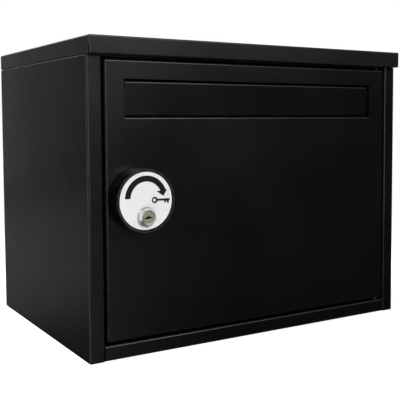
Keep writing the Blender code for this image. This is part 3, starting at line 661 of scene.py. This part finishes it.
def turned(name, profile, centre, forward=False, segments=96, edge=0.0003):
    """Turn a profile of (radius, height) points, from the axis' top down its outer side.

    With forward set, the axis is -Y and height is measured from the centre out of the front.
    A profile that starts off the axis is closed into a ring.
    """
    ring = profile[0][0] > 0.0
    outline = rounded(profile, edge, closed=ring) if edge else profile
    bm = bmesh.new()
    points = [bm.verts.new((radius, 0.0, height)) for radius, height in outline]
    for first, second in zip(points, points[1:]):
        bm.edges.new((first, second))
    if ring:
        bm.edges.new((points[-1], points[0]))
    obj = link_mesh(name, bm)
    obj.location = centre
    if forward:
        obj.rotation_euler = (math.radians(90), 0.0, 0.0)
    screw = obj.modifiers.new("turn", "SCREW")
    screw.axis = "Z"
    screw.steps = segments
    screw.render_steps = segments
    screw.use_merge_vertices = True
    screw.merge_threshold = MERGE
    return bake(obj)


def ridged(radius, high, low, pitch, depth):
    """Outer side of a thread, as a row of ridges down a turned profile."""
    count = int((high - low) / pitch)
    points = []
    for turn in range(count):
        top = high - turn * pitch
        points += [(radius, top), (radius - depth, top - pitch / 2)]
    return points


def link_curve(name, dimensions, lines, bevel, bevel_resolution):
    curve = bpy.data.curves.new(name, "CURVE")
    curve.dimensions = dimensions
    curve.bevel_depth = bevel
    curve.bevel_resolution = bevel_resolution
    for line in lines:
        spline = curve.splines.new("POLY")
        spline.points.add(len(line) - 1)
        spline.use_cyclic_u = dimensions == "2D"
        for point, place in zip(spline.points, line):
            point.co = (*place, 1.0)
    return link_object(name, curve)


def plate(name, loops, near, far, centre, edge=0.0002):
    """Flat plate facing -Y from (x, z) loops about a centre; near and far are Y places."""
    loops = [[(x, z, 0.0) for x, z in loop] for loop in loops]
    obj = link_curve(name, "2D", loops, edge, 2)
    curve = obj.data
    curve.fill_mode = "BOTH"
    curve.extrude = (far - near) / 2 - edge
    curve.offset = -edge
    obj.location = (centre[0], (near + far) / 2, centre[1])
    obj.rotation_euler = (math.radians(90), 0.0, 0.0)
    made = bake(obj)
    tidy_faces(made, MERGE, straighten=False)
    return made


def folded(name, outline, travel, outward, thickness, bend=BEND_RADIUS):
    """Fold a sheet along the outline of its outer face, swept by travel; its edges stay sharp."""
    bm = bmesh.new()
    points = [bm.verts.new(point) for point in outline]
    edges = [bm.edges.new(pair) for pair in zip(points, points[1:])]
    swept = bmesh.ops.extrude_edge_only(bm, edges=edges)
    moved = [item for item in swept["geom"] if isinstance(item, bmesh.types.BMVert)]
    bmesh.ops.translate(bm, verts=moved, vec=travel)
    bmesh.ops.recalc_face_normals(bm, faces=bm.faces)
    bm.normal_update()
    if edges[0].link_faces[0].normal.dot(Vector(outward)) < 0:
        bmesh.ops.reverse_faces(bm, faces=bm.faces)
    obj = link_mesh(name, bm)
    return thicken(obj, thickness, bend)


def thicken(obj, thickness, bend):
    add_bevel(obj, bend, BEND_STEPS)
    solidify = obj.modifiers.new("sheet", "SOLIDIFY")
    solidify.thickness = thickness
    solidify.offset = -1.0
    solidify.use_even_offset = True
    return bake(obj)


def break_edges(obj, width=EDGE_ROUND):
    """Take the sharpness off sheared sheet edges and cut holes."""
    add_bevel(obj, width, 2, angle=55)
    return bake(obj)


# Carcass.


def lid_rise(y):
    """How much higher than at the front the lid sits at a depth; it falls towards the front."""
    return LID_FALL * (y - FRONT) / (BACK - FRONT)


def follow_lid(obj, above=0.0):
    for vert in obj.data.vertices:
        if vert.co.z > above:
            vert.co.z += lid_rise(vert.co.y)


def build_side_shell(side):
    """Side wall folded round the front stile; its top edge is rolled over under the lid."""
    node = "left_side_panel" if side < 0 else "right_side_panel"
    stile = side * (RIGHT - STILE_WIDTH)
    back = SIDE_HIGH.y
    outline = [
        (stile, FRONT + STILE_RETURN, 0.0), (stile, FRONT, 0.0), (side * RIGHT, FRONT, 0.0),
        (side * RIGHT, back, 0.0), (side * (RIGHT - REAR_FLANGE), back, 0.0),
    ]
    shell = folded(node + "_shell", outline, (0, 0, BODY_TOP), (-side, 0, 0), SHEET)

    def at_top_outside(edge):
        wall = RIGHT - FLAT_CORNER
        top = BODY_TOP - FLAT_CORNER
        return all(side * vert.co.x > wall and vert.co.z > top for vert in edge.verts)

    bevel_where(shell, at_top_outside, SIDE_ROLL, 6)
    follow_lid(shell, BODY_TOP / 2)
    finish_piece(break_edges(shell), "cabinet", [node])


def pin_hole_tool(height):
    pin = Vector((DOOR_HINGE.x, DOOR_HINGE.y, height))
    reach = Vector((0, 0, 0.004))
    return rod_tool(pin - reach, pin + reach, PIN_HOLE)


def build_floor_shell():
    """Floor with its front rail between the stiles and a low upstand at the rear."""
    wall = FLOOR_HIGH.x
    rail_top = FLOOR_HIGH.z
    rear = FLOOR_HIGH.y
    outline = [
        (-wall, FRONT + RAIL_RETURN, rail_top), (-wall, FRONT, rail_top), (-wall, FRONT, 0.0),
        (-wall, rear, 0.0), (-wall, rear, FLOOR_UPSTAND),
    ]
    shell = folded("floor_and_rail_shell", outline, (2 * wall, 0, 0), (0, 0, 1), SHEET)
    rail_half = HEAD_HIGH.x
    tools = []
    for side in (-1, 1):
        near, far = sorted((side * rail_half, side * (RIGHT + GAP)))
        low = (near, FRONT - 0.01, -0.01)
        tools.append(box_tool(low, (far, FRONT + STILE_RETURN + GAP, rail_top + 0.01)))
    tools.append(pin_hole_tool(rail_top))
    finish_piece(break_edges(cut(shell, tools)), "cabinet", ["bottom_panel"])


def build_back_shell():
    """Back sheet with four wall fixing holes."""
    top = BACK_HIGH.z
    outline = rounded([(LEFT, 0.0), (RIGHT, 0.0), (RIGHT, top), (LEFT, top)], 0.0015, closed=True)
    loops = [outline]
    for place in PLUG_PLACES:
        loops.append([(place.x + x, place.z + z) for x, z in circle(PLUG_HOLE, 48)])
    shell = plate("back_shell", loops, BACK - SHEET, BACK, (0.0, 0.0))
    finish_piece(shell, "cabinet", ["back_panel"])


def build_mounting_plugs():
    """Rubber plugs with a domed head inside and a shank that fills the hole."""
    inside = BACK - SHEET
    for number, place in enumerate(PLUG_PLACES, 1):
        node = f"mounting_plug_{number}"
        low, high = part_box(node)
        tip = inside - high.y
        shank = PLUG_HOLE - GAP
        profile = [(0.0, 0.0022), (0.0045, 0.0020), (0.0070, 0.0011), (0.0070, GAP)]
        profile = [(radius, min(height, inside - low.y)) for radius, height in profile]
        profile += [(shank, GAP), (shank, tip), (0.0028, tip), (0.0024, tip + 0.0007), (0.0, tip + 0.0007)]
        shell = turned(f"mounting_plug_shell_{number}", profile, (place.x, inside, place.z), True, 48)
        finish_piece(shell, "cabinet", [node], "rubber")


def build_lid_shell():
    """Folded cap that falls to the front; its front corners have open seams low down."""
    low = LID_LOW - Vector((0.0, 0.0, lid_rise(LID_LOW.y)))
    high = LID_HIGH - Vector((0.0, 0.0, lid_rise(LID_HIGH.y)))
    bm = box_mesh(low, high)
    under = [face for face in bm.faces if face.normal.z < -0.9]
    bmesh.ops.delete(bm, geom=under, context="FACES_ONLY")
    rim = [edge for edge in bm.edges if edge.is_boundary]
    lip = bmesh.ops.extrude_edge_only(bm, edges=rim)
    middle_y = (low.y + high.y) / 2
    for vert in [item for item in lip["geom"] if isinstance(item, bmesh.types.BMVert)]:
        vert.co.x -= math.copysign(LID_RETURN, vert.co.x)
        vert.co.y -= math.copysign(LID_RETURN, vert.co.y - middle_y)
    bmesh.ops.recalc_face_normals(bm, faces=bm.faces)
    bm.normal_update()
    top = max(bm.faces, key=lambda face: face.calc_center_median().z)
    if top.normal.z < 0:
        bmesh.ops.reverse_faces(bm, faces=bm.faces)
    lid = link_mesh("lid_shell", bm)
    follow_lid(lid)
    lid = thicken(lid, LID_SHEET, LID_BEND)
    tools = []
    for side in (-1, 1):
        half = LID_SEAM_WIDTH / 2
        seam = box_tool((-0.004, -half, low.z - 0.001), (0.004, half, low.z + LID_SEAM_HEIGHT))
        seam.location = (side * (RIGHT - 0.0005), low.y + 0.001, 0.0)
        seam.rotation_euler = (0.0, 0.0, math.radians(-45 * side))
        tools.append(seam)
    lid = break_edges(cut(lid, tools))
    # The lid takes a lighter copy of the body's black coat: painted light, for the lid that stands brighter
    # under the lamps.
    finish_piece(lid, "cabinet", ["lid"], look="lid_coat_painted_light")


def build_head_rail_shell():
    """Head rail over the door; its flange is the door's stop and is cut away at the hinge."""
    low = HEAD_LOW
    high = HEAD_HIGH
    outline = [
        (low.x, low.y, high.z), (low.x, high.y, high.z), (low.x, high.y, low.z),
    ]
    rail = folded("head_rail_shell", outline, (high.x - low.x, 0, 0), (0, 0, 1), SHEET)
    hinge_low = (DOOR_HINGE.x - 0.014, FRONT + 0.012, low.z - 0.01)
    tools = [
        box_tool(hinge_low, (RIGHT, FRONT + 0.03, high.z - BEND_RADIUS)),
        pin_hole_tool(high.z),
    ]
    finish_piece(break_edges(cut(rail, tools)), "cabinet", ["front_top_rail"])


def build_top_angle_shells():
    """Angle strips inside the top edges, with the lid's screw holes."""
    for side, node in ((-1, "left_top_angle"), (1, "right_top_angle")):
        low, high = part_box(node)
        outer, inner = (low.x, high.x) if side < 0 else (high.x, low.x)
        leg = low.z - lid_rise(low.y)
        outline = [(inner, low.y, BODY_TOP), (outer, low.y, BODY_TOP), (outer, low.y, leg)]
        angle = folded(node + "_shell", outline, (0, high.y - low.y, 0), (0, 0, 1), SHEET)
        follow_lid(angle)
        tools = []
        for x, y, _ in SCREW_PLACES:
            if x * side > 0:
                tools.append(rod_tool((x, y, high.z - 0.008), (x, y, high.z + 0.004), SCREW_HOLE, 32))
        finish_piece(break_edges(cut(angle, tools)), "cabinet", [node])
    low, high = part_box("rear_top_angle")
    leg = low.z - lid_rise(high.y)
    outline = [(low.x, low.y, BODY_TOP), (low.x, high.y, BODY_TOP), (low.x, high.y, leg)]
    angle = folded("rear_top_angle_shell", outline, (high.x - low.x, 0, 0), (0, 0, 1), SHEET)
    follow_lid(angle)
    finish_piece(break_edges(angle), "cabinet", ["rear_top_angle"])


def build_lid_screw_shells():
    """Pan-head screws up into the lid, each with a cross recess and thread ridges."""
    for number, (x, y, _) in enumerate(SCREW_PLACES, 1):
        low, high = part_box(f"lid_screw_{number}")
        head_top = low.z + 0.0022
        profile = [(0.0, high.z), (0.0014, high.z - 0.0005)]
        profile += ridged(SCREW_RADIUS, high.z - 0.0006, head_top + 0.0006, 0.0007, 0.0003)
        profile += [
            (SCREW_RADIUS, head_top), (0.0036, head_top), (0.0036, head_top - 0.0010),
            (0.0026, low.z + 0.0002), (0.0, low.z),
        ]
        screw = turned(f"lid_screw_shell_{number}", profile, (x, y, 0.0), segments=40, edge=0.0001)
        tools = []
        for angle in (20, 110):
            arm = box_tool((-0.0018, -0.0004, -0.002), (0.0018, 0.0004, 0.0012))
            arm.location = (x, y, low.z)
            arm.rotation_euler = (0.0, 0.0, math.radians(angle))
            tools.append(arm)
        finish_piece(cut(screw, tools), "cabinet", [f"lid_screw_{number}"], "zinc_steel", 35)


def build_hinge_hardware():
    """Headed pivot pins and their nylon washers."""
    for node in ("lower_hinge_pin", "upper_hinge_pin"):
        low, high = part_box(node)
        if node.startswith("lower"):
            under = low.z + 0.002
            profile = [(0.0, high.z), (PIN_RADIUS, high.z), (PIN_RADIUS, under)]
            profile += [(PIN_HEAD, under), (PIN_HEAD, low.z), (0.0, low.z)]
        else:
            under = high.z - 0.002
            profile = [(0.0, high.z), (PIN_HEAD, high.z), (PIN_HEAD, under)]
            profile += [(PIN_RADIUS, under), (PIN_RADIUS, low.z), (0.0, low.z)]
        centre = (DOOR_HINGE.x, DOOR_HINGE.y, 0.0)
        pin = turned(node + "_shell", profile, centre, segments=48, edge=0.0005)
        finish_piece(pin, "cabinet", [node], "zinc_steel", 35)
        washer = node.replace("pin", "washer")
        low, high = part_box(washer)
        profile = tube(PIN_HOLE, WASHER_RADIUS, high.z, low.z)
        ring = turned(washer + "_shell", profile, centre, segments=48, edge=0.0002)
        finish_piece(ring, "cabinet", [washer], "nylon", 35)


def build_door_bumper_shells():
    """Rubber pads with soft edges."""
    for number in (1, 2, 3):
        node = f"door_bumper_{number}"
        low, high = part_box(node)
        pad = link_mesh(node + "_shell", box_mesh(low, high))
        add_bevel(pad, min(0.0004, (high.y - low.y) * 0.35), 4)
        finish_piece(pad, "cabinet", [node], "rubber", 35)


# Door and flap.


def fold_edges(bm, edges, travel):
    """Extrude open edges into a new strip and return the strip's far edges."""
    strip = bmesh.ops.extrude_edge_only(bm, edges=edges)
    moved = {item for item in strip["geom"] if isinstance(item, bmesh.types.BMVert)}
    bmesh.ops.translate(bm, verts=list(moved), vec=travel)
    new_edges = [item for item in strip["geom"] if isinstance(item, bmesh.types.BMEdge)]
    return [edge for edge in new_edges if set(edge.verts) <= moved]


def build_door_shell():
    """Pan-shaped door with a letter slot whose lower edge is folded in."""
    bm = bmesh.new()
    bmesh.ops.create_grid(bm, x_segments=3, y_segments=3, size=0.5)
    columns = (DOOR_LOW.x, SLOT_LEFT, SLOT_RIGHT, DOOR_HIGH.x)
    rows = (DOOR_LOW.z, SLOT_BOTTOM - BEND_RADIUS, SLOT_TOP, DOOR_HIGH.z)
    for vert in bm.verts:
        column = round((vert.co.x + 0.5) * 3)
        row = round((vert.co.y + 0.5) * 3)
        vert.co = (columns[column], FRONT, rows[row])
    outer = [edge for edge in bm.edges if edge.is_boundary]
    middle = Vector(((SLOT_LEFT + SLOT_RIGHT) / 2, FRONT, (SLOT_BOTTOM + SLOT_TOP) / 2))
    slot = min(bm.faces, key=lambda face: (face.calc_center_median() - middle).length)
    sill = min(slot.edges, key=lambda edge: sum(vert.co.z for vert in edge.verts))
    bmesh.ops.delete(bm, geom=[slot], context="FACES_ONLY")
    fold_edges(bm, outer, (0, DOOR_HIGH.y - FRONT, 0))
    edges = [sill]
    bend = arc((BEND_RADIUS, 0.0), BEND_RADIUS, 180, 90, BEND_STEPS)
    for before, after in zip(bend, bend[1:]):
        edges = fold_edges(bm, edges, (0, after[0] - before[0], after[1] - before[1]))
    fold_edges(bm, edges, (0, SLOT_LIP - BEND_RADIUS, 0))
    bmesh.ops.recalc_face_normals(bm, faces=bm.faces)
    bm.normal_update()
    front = next(face for face in bm.faces if abs(face.normal.y) > 0.9)
    if front.normal.y > 0:
        bmesh.ops.reverse_faces(bm, faces=bm.faces)
    panel = thicken(link_mesh("door_shell", bm), SHEET, BEND_RADIUS)
    pin_low = Vector((DOOR_HINGE.x, DOOR_HINGE.y, 0.0))
    tools = [
        rod_tool(pin_low, pin_low + Vector((0, 0, LID_HIGH.z)), PIN_HOLE),
        rod_tool((KNOB.x, FRONT - 0.01, KNOB.z), (KNOB.x, FRONT + 0.01, KNOB.z), BUSH_HOLE),
    ]
    finish_piece(break_edges(cut(panel, tools)), "door", ["door_panel"])


def build_stiffener_shells():
    """Channels inside the door, one under the slot and one down the hinge side."""
    low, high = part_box("slot_stiffener")
    outline = [
        (low.x, low.y, high.z), (low.x, high.y, high.z), (low.x, high.y, low.z),
        (low.x, low.y, low.z),
    ]
    shell = folded("slot_stiffener_shell", outline, (high.x - low.x, 0, 0), (0, 0, 1), SHEET, 0.002)
    finish_piece(break_edges(shell), "door", ["slot_stiffener"])
    low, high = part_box("hinge_side_stiffener")
    outline = [
        (high.x, low.y, low.z), (high.x, high.y, low.z), (low.x, high.y, low.z),
        (low.x, low.y, low.z),
    ]
    shell = folded("hinge_side_stiffener_shell", outline, (0, 0, high.z - low.z), (1, 0, 0), SHEET, 0.002)
    finish_piece(break_edges(shell), "door", ["hinge_side_stiffener"])


def rod_hole_tool(start, end):
    y, z = FLAP_HINGE.y, FLAP_HINGE.z
    return rod_tool((start, y, z), (end, y, z), ROD_HOLE, 40)


def build_flap_bracket_shells():
    """Folded brackets with rounded corners that carry the rod, and their rivets."""
    for side, name in ((-1, "left"), (1, "right")):
        node = f"flap_bracket_{name}"
        low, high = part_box(node)
        arm, foot = (high.x, low.x) if side < 0 else (low.x, high.x)
        outline = [(arm, high.y, low.z), (arm, low.y, low.z), (foot, low.y, low.z)]
        shell = folded(node + "_shell", outline, (0, 0, high.z - low.z), (-side, 0, 0), SHEET, 0.002)

        def is_free_corner(edge, far_y=high.y - FLAT_CORNER, far_x=foot):
            for vert in edge.verts:
                if vert.co.y < far_y and abs(vert.co.x - far_x) > FLAT_CORNER:
                    return False
            return SHEET * 0.9 < edge.calc_length() < SHEET * 1.1

        bevel_where(shell, is_free_corner, 0.003, 6)
        shell = cut(shell, [rod_hole_tool(arm - 0.006, arm + 0.006)])
        finish_piece(break_edges(shell), "door", [node], "zinc_steel")
        rivet = f"bracket_rivet_{name}"
        low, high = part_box(rivet)
        reach = high.y - low.y
        profile = [
            (0.0, reach), (0.0010, reach - 0.00005), (0.0017, reach - 0.0003),
            (RIVET_RADIUS, reach - 0.0009), (RIVET_RADIUS, 0.0), (0.0, 0.0),
        ]
        place = ((low.x + high.x) / 2, low.y, (low.z + high.z) / 2)
        head = turned(rivet + "_shell", profile, place, True, 40, 0.0001)
        head.data.transform(Matrix.Translation((0, 2 * low.y, 0)) @ Matrix.Scale(-1, 4, (0, 1, 0)))
        head.data.flip_normals()
        finish_piece(head, "door", [rivet], "zinc_steel", 40)


def build_flap_shell():
    """Letter flap: a sheet with a notched upper strip and a fold over the rod."""
    outline = [
        (FLAP_LOW.x, FLAP_LOW.y + FLAP_TILT, FLAP_LOW.z), (FLAP_LOW.x, FLAP_LOW.y, FLAP_HIGH.z),
        (FLAP_LOW.x, FLAP_HIGH.y, FLAP_HIGH.z),
    ]
    travel = (FLAP_HIGH.x - FLAP_LOW.x, 0, 0)
    shell = folded("letter_flap_shell", outline, travel, (0, -1, 0), FLAP_SHEET)
    notches = (
        (FLAP_LOW.x - 0.01, SLOT_LEFT + FLAP_NOTCH),
        (SLOT_RIGHT - FLAP_NOTCH, FLAP_HIGH.x + 0.01),
    )
    tools = []
    for near, far in notches:
        low = (near, FRONT - 0.01, FLAP_HINGE.z - 0.0005)
        tools.append(box_tool(low, (far, FRONT + 0.03, SLOT_TOP + 0.01)))
    finish_piece(break_edges(cut(shell, tools)), "flap", ["letter_flap"])


def build_flap_hardware():
    """Rod with rounded ends and the two clips that hold the flap to it."""
    low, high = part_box("flap_rod")
    length = high.x - low.x
    rod = turned("flap_rod_shell", tube(0.0, ROD_RADIUS, length, 0.0), (0, 0, 0), segments=40, edge=0.0005)
    turn = Matrix.Rotation(math.radians(90), 4, "Y")
    rod.data.transform(Matrix.Translation((low.x, FLAP_HINGE.y, FLAP_HINGE.z)) @ turn)
    finish_piece(rod, "flap", ["flap_rod"], "zinc_steel", 35)
    for name in ("left", "right"):
        node = f"flap_clip_{name}"
        low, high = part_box(node)
        clip = link_mesh(node + "_shell", box_mesh(low, high))
        clip = cut(clip, [rod_hole_tool(low.x - 0.01, high.x + 0.01)])
        finish_piece(break_edges(clip, 0.0005), "flap", [node], "zinc_steel", 40)


def build_spring_shell():
    """Torsion spring round the rod with a leg down the flap's back and a short upper leg."""
    low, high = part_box("flap_spring")
    wire = 0.0004
    coil_radius = 0.0023
    turns = 6.5
    per_turn = 24
    start = low.x + wire
    pitch = (high.x - low.x - 2 * wire) / turns
    steps = int(turns * per_turn)
    points = [(start, -coil_radius + 0.0009, low.z - FLAP_HINGE.z + wire)]
    for step in range(steps + 1):
        angle = math.pi + 2 * math.pi * step / per_turn
        x = start + pitch * step / per_turn
        points.append((x, coil_radius * math.cos(angle), -coil_radius * math.sin(angle)))
    points.append((points[-1][0], coil_radius, high.z - FLAP_HINGE.z - wire))
    spring = link_curve("flap_spring_shell", "3D", [points], wire, 3)
    spring.data.use_fill_caps = True
    spring.location = (0.0, FLAP_HINGE.y, FLAP_HINGE.z)
    finish_piece(bake(spring), "flap", ["flap_spring"], "zinc_steel", 60)


# Knob, latch and lock. Their heights run out of the cabinet's front.


def build_knob_shells():
    """Hollow knob with a groove and a fine rim round the disc, and the ring it turns against."""
    centre = (KNOB.x, FRONT, KNOB.z)
    seat = DISC_FRONT - DISC_THICKNESS - GAP
    inner = KNOB_RADIUS - KNOB_WALL
    well = DISC_RADIUS + GAP
    profile = [
        (0.0, seat), (well, seat), (well, seat + 0.0002), (well + 0.0004, DISC_FRONT - 0.0004),
        (KNOB_RADIUS - 0.0018, DISC_FRONT - 0.0010), (KNOB_RADIUS - 0.0016, KNOB_FRONT),
        (KNOB_RADIUS, KNOB_FRONT), (KNOB_RADIUS, KNOB_BACK), (inner, KNOB_BACK),
        (inner, seat - KNOB_WALL), (0.0, seat - KNOB_WALL),
    ]
    body = turned("knob_shell", profile, centre, True, 160, 0.0003)
    body = cut(body, [lock_hole_tool()])
    finish_piece(body, "knob", ["knob_body"], "knob_black", 40)
    # The rim bead is coloured pale grey: a painted highlight that stands for the thin lit line round the
    # disc.
    crest = KNOB_FRONT + 0.00015
    profile = tube(KNOB_RADIUS - 0.0015, KNOB_RADIUS - 0.0009, crest, KNOB_FRONT - 0.0003)
    rim = turned("knob_rim_shell", profile, centre, True, 160, 0.0001)
    finish_piece(rim, "knob", [], "knob_black", 40, "rim")
    bore = 0.0125
    profile = tube(bore, RING_RADIUS, RING_FRONT, GAP)
    ring = turned("knob_base_ring_shell", profile, centre, True, 128, 0.0007)
    finish_piece(ring, "door", ["knob_base_ring"], "knob_black", 40)


def lock_hole_tool():
    front = Vector((LOCK.x, FRONT - DISC_FRONT, LOCK.z))
    start = front - Vector((0, 0.006, 0))
    return rod_tool(start, front + Vector((0, 0.018, 0)), BARREL_SHANK + GAP)


def build_disc():
    """White disc with a printed turning arrow and a key mark."""
    centre = (KNOB.x, FRONT, KNOB.z)
    profile = tube(0.0, DISC_RADIUS, DISC_FRONT, DISC_FRONT - DISC_THICKNESS)
    disc = turned("knob_disc_shell", profile, centre, True, 128, 0.00015)
    finish_piece(cut(disc, [lock_hole_tool()]), "knob", ["knob_disc"], "disc_white", 40)
    ink_far = FRONT - DISC_FRONT - INK_GAP
    ink_near = ink_far - INK_THICKNESS
    middle = (0.0001, 0.0019)
    outer = arc(middle, 0.0249, 177.5, 22.5, 48)
    inner = arc(middle, 0.0186, 26.0, 176.5, 40)
    head = [(0.0248, 0.0108), (0.0205, 0.0042), (0.0121, 0.0098)]
    place = (KNOB.x, KNOB.z)
    arrow = plate("turning_arrow", [outer + head + inner], ink_near, ink_far, place, INK_EDGE)
    finish_piece(arrow, "knob", [], "knob_black", 50, "ink")
    bow = 0.0035
    half_shaft = 0.0011
    tip = 0.0180
    opening = math.degrees(math.asin(half_shaft / bow))
    key = arc((0.0, 0.0), bow, opening, 360 - opening, 40)
    key += [(0.0112, -half_shaft), (0.0112, -0.0033), (0.0134, -0.0033), (0.0134, -0.0018)]
    key += [(0.0148, -0.0018), (0.0148, -0.0038), (0.0170, -0.0038)]
    key += [(0.0170, -half_shaft), (tip, -half_shaft), (tip, half_shaft)]
    hole = [(x - 0.0003, z) for x, z in circle(0.0016, 24)]
    place = (KNOB.x + 0.0101, KNOB.z + 0.0004)
    mark = plate("key_mark", [key, hole], ink_near, ink_far, place, INK_EDGE)
    finish_piece(mark, "knob", [], "knob_black", 50, "ink")


def chamfered_nut(name, flats_radius, near, far, hole):
    """Hexagon nut with its corners turned off at both faces."""
    centre = (KNOB.x, KNOB.z)
    nut = plate(name, [circle(flats_radius, 6), circle(hole, 64)], near, far, centre, 0.00008)
    turn_off = flats_radius * 0.94
    clear = flats_radius + 0.0001
    drop = (flats_radius - turn_off) * 0.6
    height = far - near
    profile = [(0.0, height), (turn_off, height), (clear, height - drop)]
    profile += [(clear, drop), (turn_off, 0.0), (0.0, 0.0)]
    body = turned("tool", profile, (KNOB.x, far, KNOB.z), True, 64, 0.0)
    return cut(nut, [body], "INTERSECT")


def build_latch_shells():
    """Bush and its nut on the door; spindle, cam lever and lever nut on the knob."""
    centre = (KNOB.x, FRONT, KNOB.z)
    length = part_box("latch_bush")[1].y - FRONT
    bore = SPINDLE_HOLE
    collar = 0.0122
    profile = [(bore, RING_FRONT), (collar, RING_FRONT), (collar, GAP), (0.0106, GAP)]
    profile += ridged(BUSH_RADIUS, -0.0022, -length + 0.0004, 0.0010, 0.0004)
    profile += [(0.0101, -length), (bore, -length)]
    bush = turned("latch_bush_shell", profile, centre, True, 96, 0.0001)
    finish_piece(bush, "door", ["latch_bush"], "zinc_steel", 35)
    low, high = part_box("bush_nut")
    nut = chamfered_nut("bush_nut_shell", 0.016, low.y, high.y, BUSH_HOLE)
    finish_piece(nut, "door", ["bush_nut"], "zinc_steel", 30)
    low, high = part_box("latch_spindle")
    lever_low, lever_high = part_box("cam_lever")
    shoulder = FRONT - lever_high.y + 0.0002
    top = FRONT - low.y
    foot = FRONT - high.y
    profile = [(0.0, top), (SPINDLE_RADIUS, top), (SPINDLE_RADIUS, shoulder), (STUD_RADIUS, shoulder)]
    profile += ridged(STUD_RADIUS, shoulder - 0.0006, foot + 0.0004, 0.0008, 0.0003)
    profile += [(STUD_RADIUS - 0.0005, foot), (0.0, foot)]
    spindle = turned("latch_spindle_shell", profile, centre, True, 64, 0.0001)
    finish_piece(spindle, "knob", ["latch_spindle"], "zinc_steel", 35)
    narrow = LEVER_HALF_WIDTH * 0.75
    reach = KNOB.z - lever_low.z
    outline = arc((0.0, 0.0), LEVER_HALF_WIDTH, 0, 180, 32)
    outline += arc((0.0, narrow - reach), narrow, 180, 360, 24)
    loops = [outline, circle(SPINDLE_HOLE, 48)]
    lever = plate("cam_lever_shell", loops, lever_low.y, lever_high.y, (KNOB.x, KNOB.z), 0.0003)
    finish_piece(lever, "knob", ["cam_lever"], "zinc_steel", 40)
    low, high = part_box("lever_nut")
    nut = chamfered_nut("lever_nut_shell", 0.008, low.y, high.y, STUD_RADIUS + GAP)
    finish_piece(nut, "knob", ["lever_nut"], "zinc_steel", 30)


def build_lock_shells():
    """Chromed barrel with a rolled face, and the brass plug with its stepped keyway."""
    centre = (LOCK.x, FRONT, LOCK.z)
    seat = DISC_FRONT + GAP
    low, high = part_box("lock_barrel")
    shank_end = FRONT - high.y
    plug_low, plug_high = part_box("key_plug")
    bore = LOCK_PLUG_RADIUS + 0.0002
    base = (high.x - low.x) / 2
    face = BARREL_FACE
    profile = [
        (bore, LOCK_FRONT - 0.0016), (bore + 0.0004, LOCK_FRONT - 0.0012),
        (bore + 0.0005, LOCK_FRONT), (face - 0.0003, LOCK_FRONT), (face, LOCK_FRONT - 0.0005),
        (base - 0.0007, seat + 0.0014), (base, seat + 0.0008), (base, seat), (BARREL_SHANK, seat),
        (BARREL_SHANK, shank_end), (bore, shank_end),
    ]
    barrel = turned("lock_barrel_shell", profile, centre, True, 128, 0.0003)
    finish_piece(barrel, "knob", ["lock_barrel"], "lock_chrome", 40)
    plug_front = FRONT - plug_low.y
    plug_end = FRONT - plug_high.y
    profile = [
        (0.0, plug_front), (LOCK_PLUG_RADIUS * 0.90, plug_front),
        (LOCK_PLUG_RADIUS * 0.94, plug_front - 0.0005), (LOCK_PLUG_RADIUS, plug_front - 0.0010),
        (LOCK_PLUG_RADIUS, plug_end), (0.0, plug_end),
    ]
    plug = turned("key_plug_shell", profile, centre, True, 96, 0.0001)
    keyway = [
        (-0.0046, -0.0012), (-0.0008, -0.0013), (0.0010, -0.0010), (0.0046, -0.0005),
        (0.0046, 0.0005), (0.0014, 0.0009), (0.0007, 0.0024), (-0.0007, 0.0024), (-0.0015, 0.0010),
        (-0.0046, 0.0003),
    ]
    place = (LOCK.x, LOCK.z)
    slot = plate("tool", [keyway], plug_low.y - 0.002, plug_low.y + KEYWAY_DEPTH, place, INK_EDGE)
    plug = cut(plug, [slot])
    finish_piece(break_edges(plug, 0.00012), "lock_plug", ["key_plug"], "plug_brass", 40)
    # A black disc in the plug behind the keyway's mouth: painted shade, so the slot reads dark.
    shade_plate_near = plug_low.y + SHADE_PLATE_DEPTH
    disc = circle(0.0055, 48)
    shade_plate = plate("keyway_shade_plate", [disc], shade_plate_near, shade_plate_near + 0.0002, place, INK_EDGE)
    finish_piece(shade_plate, "lock_plug", [], "plug_brass", 50, "ink")
    low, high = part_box("lock_pawl")
    outline = [(low.x, low.z), (high.x, low.z), (high.x, high.z), (low.x, high.z)]
    outline = [(x - LOCK.x, z - LOCK.z) for x, z in outline]
    loops = [rounded(outline, 0.001, closed=True)]
    pawl = plate("lock_pawl_shell", loops, low.y, high.y, place)
    finish_piece(pawl, "lock_plug", ["lock_pawl"], "zinc_steel", 40)


make_camera()
make_world()
make_floor()
make_lights()
set_view()

finishes = {
    "powder_coat": powder_coat("powder_coat_black", (0.0024, 0.0024, 0.0030), (0.0037, 0.0037, 0.0044)),
    # The lid's coat is the body's black made about three times lighter: painted light on the same paint.
    "lid_coat_painted_light": powder_coat("powder_coat_lid_painted_light", (0.0080, 0.0076, 0.0100), (0.0100, 0.0096, 0.0122)),
    # Pale grey for the rim bead round the disc: a painted highlight.
    "rim": black_plastic("plastic_rim_painted_highlight", (0.060, 0.060, 0.061), (0.085, 0.085, 0.087)),
    "zinc_steel": zinc_steel(),
    "lock_chrome": chrome_plate(),
    "plug_brass": plug_brass(),
    "knob_black": black_plastic("black_moulded_plastic", (0.0012, 0.0012, 0.0013), (0.0024, 0.0024, 0.0026)),
    "disc_white": white_enamel(),
    # This ink also colours the black disc of painted shade inside the keyway.
    "ink": printed_ink(),
    "rubber": matt_polymer("black_rubber", (0.012, 0.024), (0.7, 0.9), 1500.0, 0.00003),
    "nylon": matt_polymer("black_nylon", (0.010, 0.022), (0.4, 0.55), 900.0, 0.00001),
}

build_side_shell(-1)
build_side_shell(1)
build_floor_shell()
build_back_shell()
build_mounting_plugs()
build_lid_shell()
build_head_rail_shell()
build_top_angle_shells()
build_lid_screw_shells()
build_hinge_hardware()
build_door_bumper_shells()
build_door_shell()
build_stiffener_shells()
build_flap_bracket_shells()
build_flap_shell()
build_flap_hardware()
build_spring_shell()
build_knob_shells()
build_disc()
build_latch_shells()
build_lock_shells()
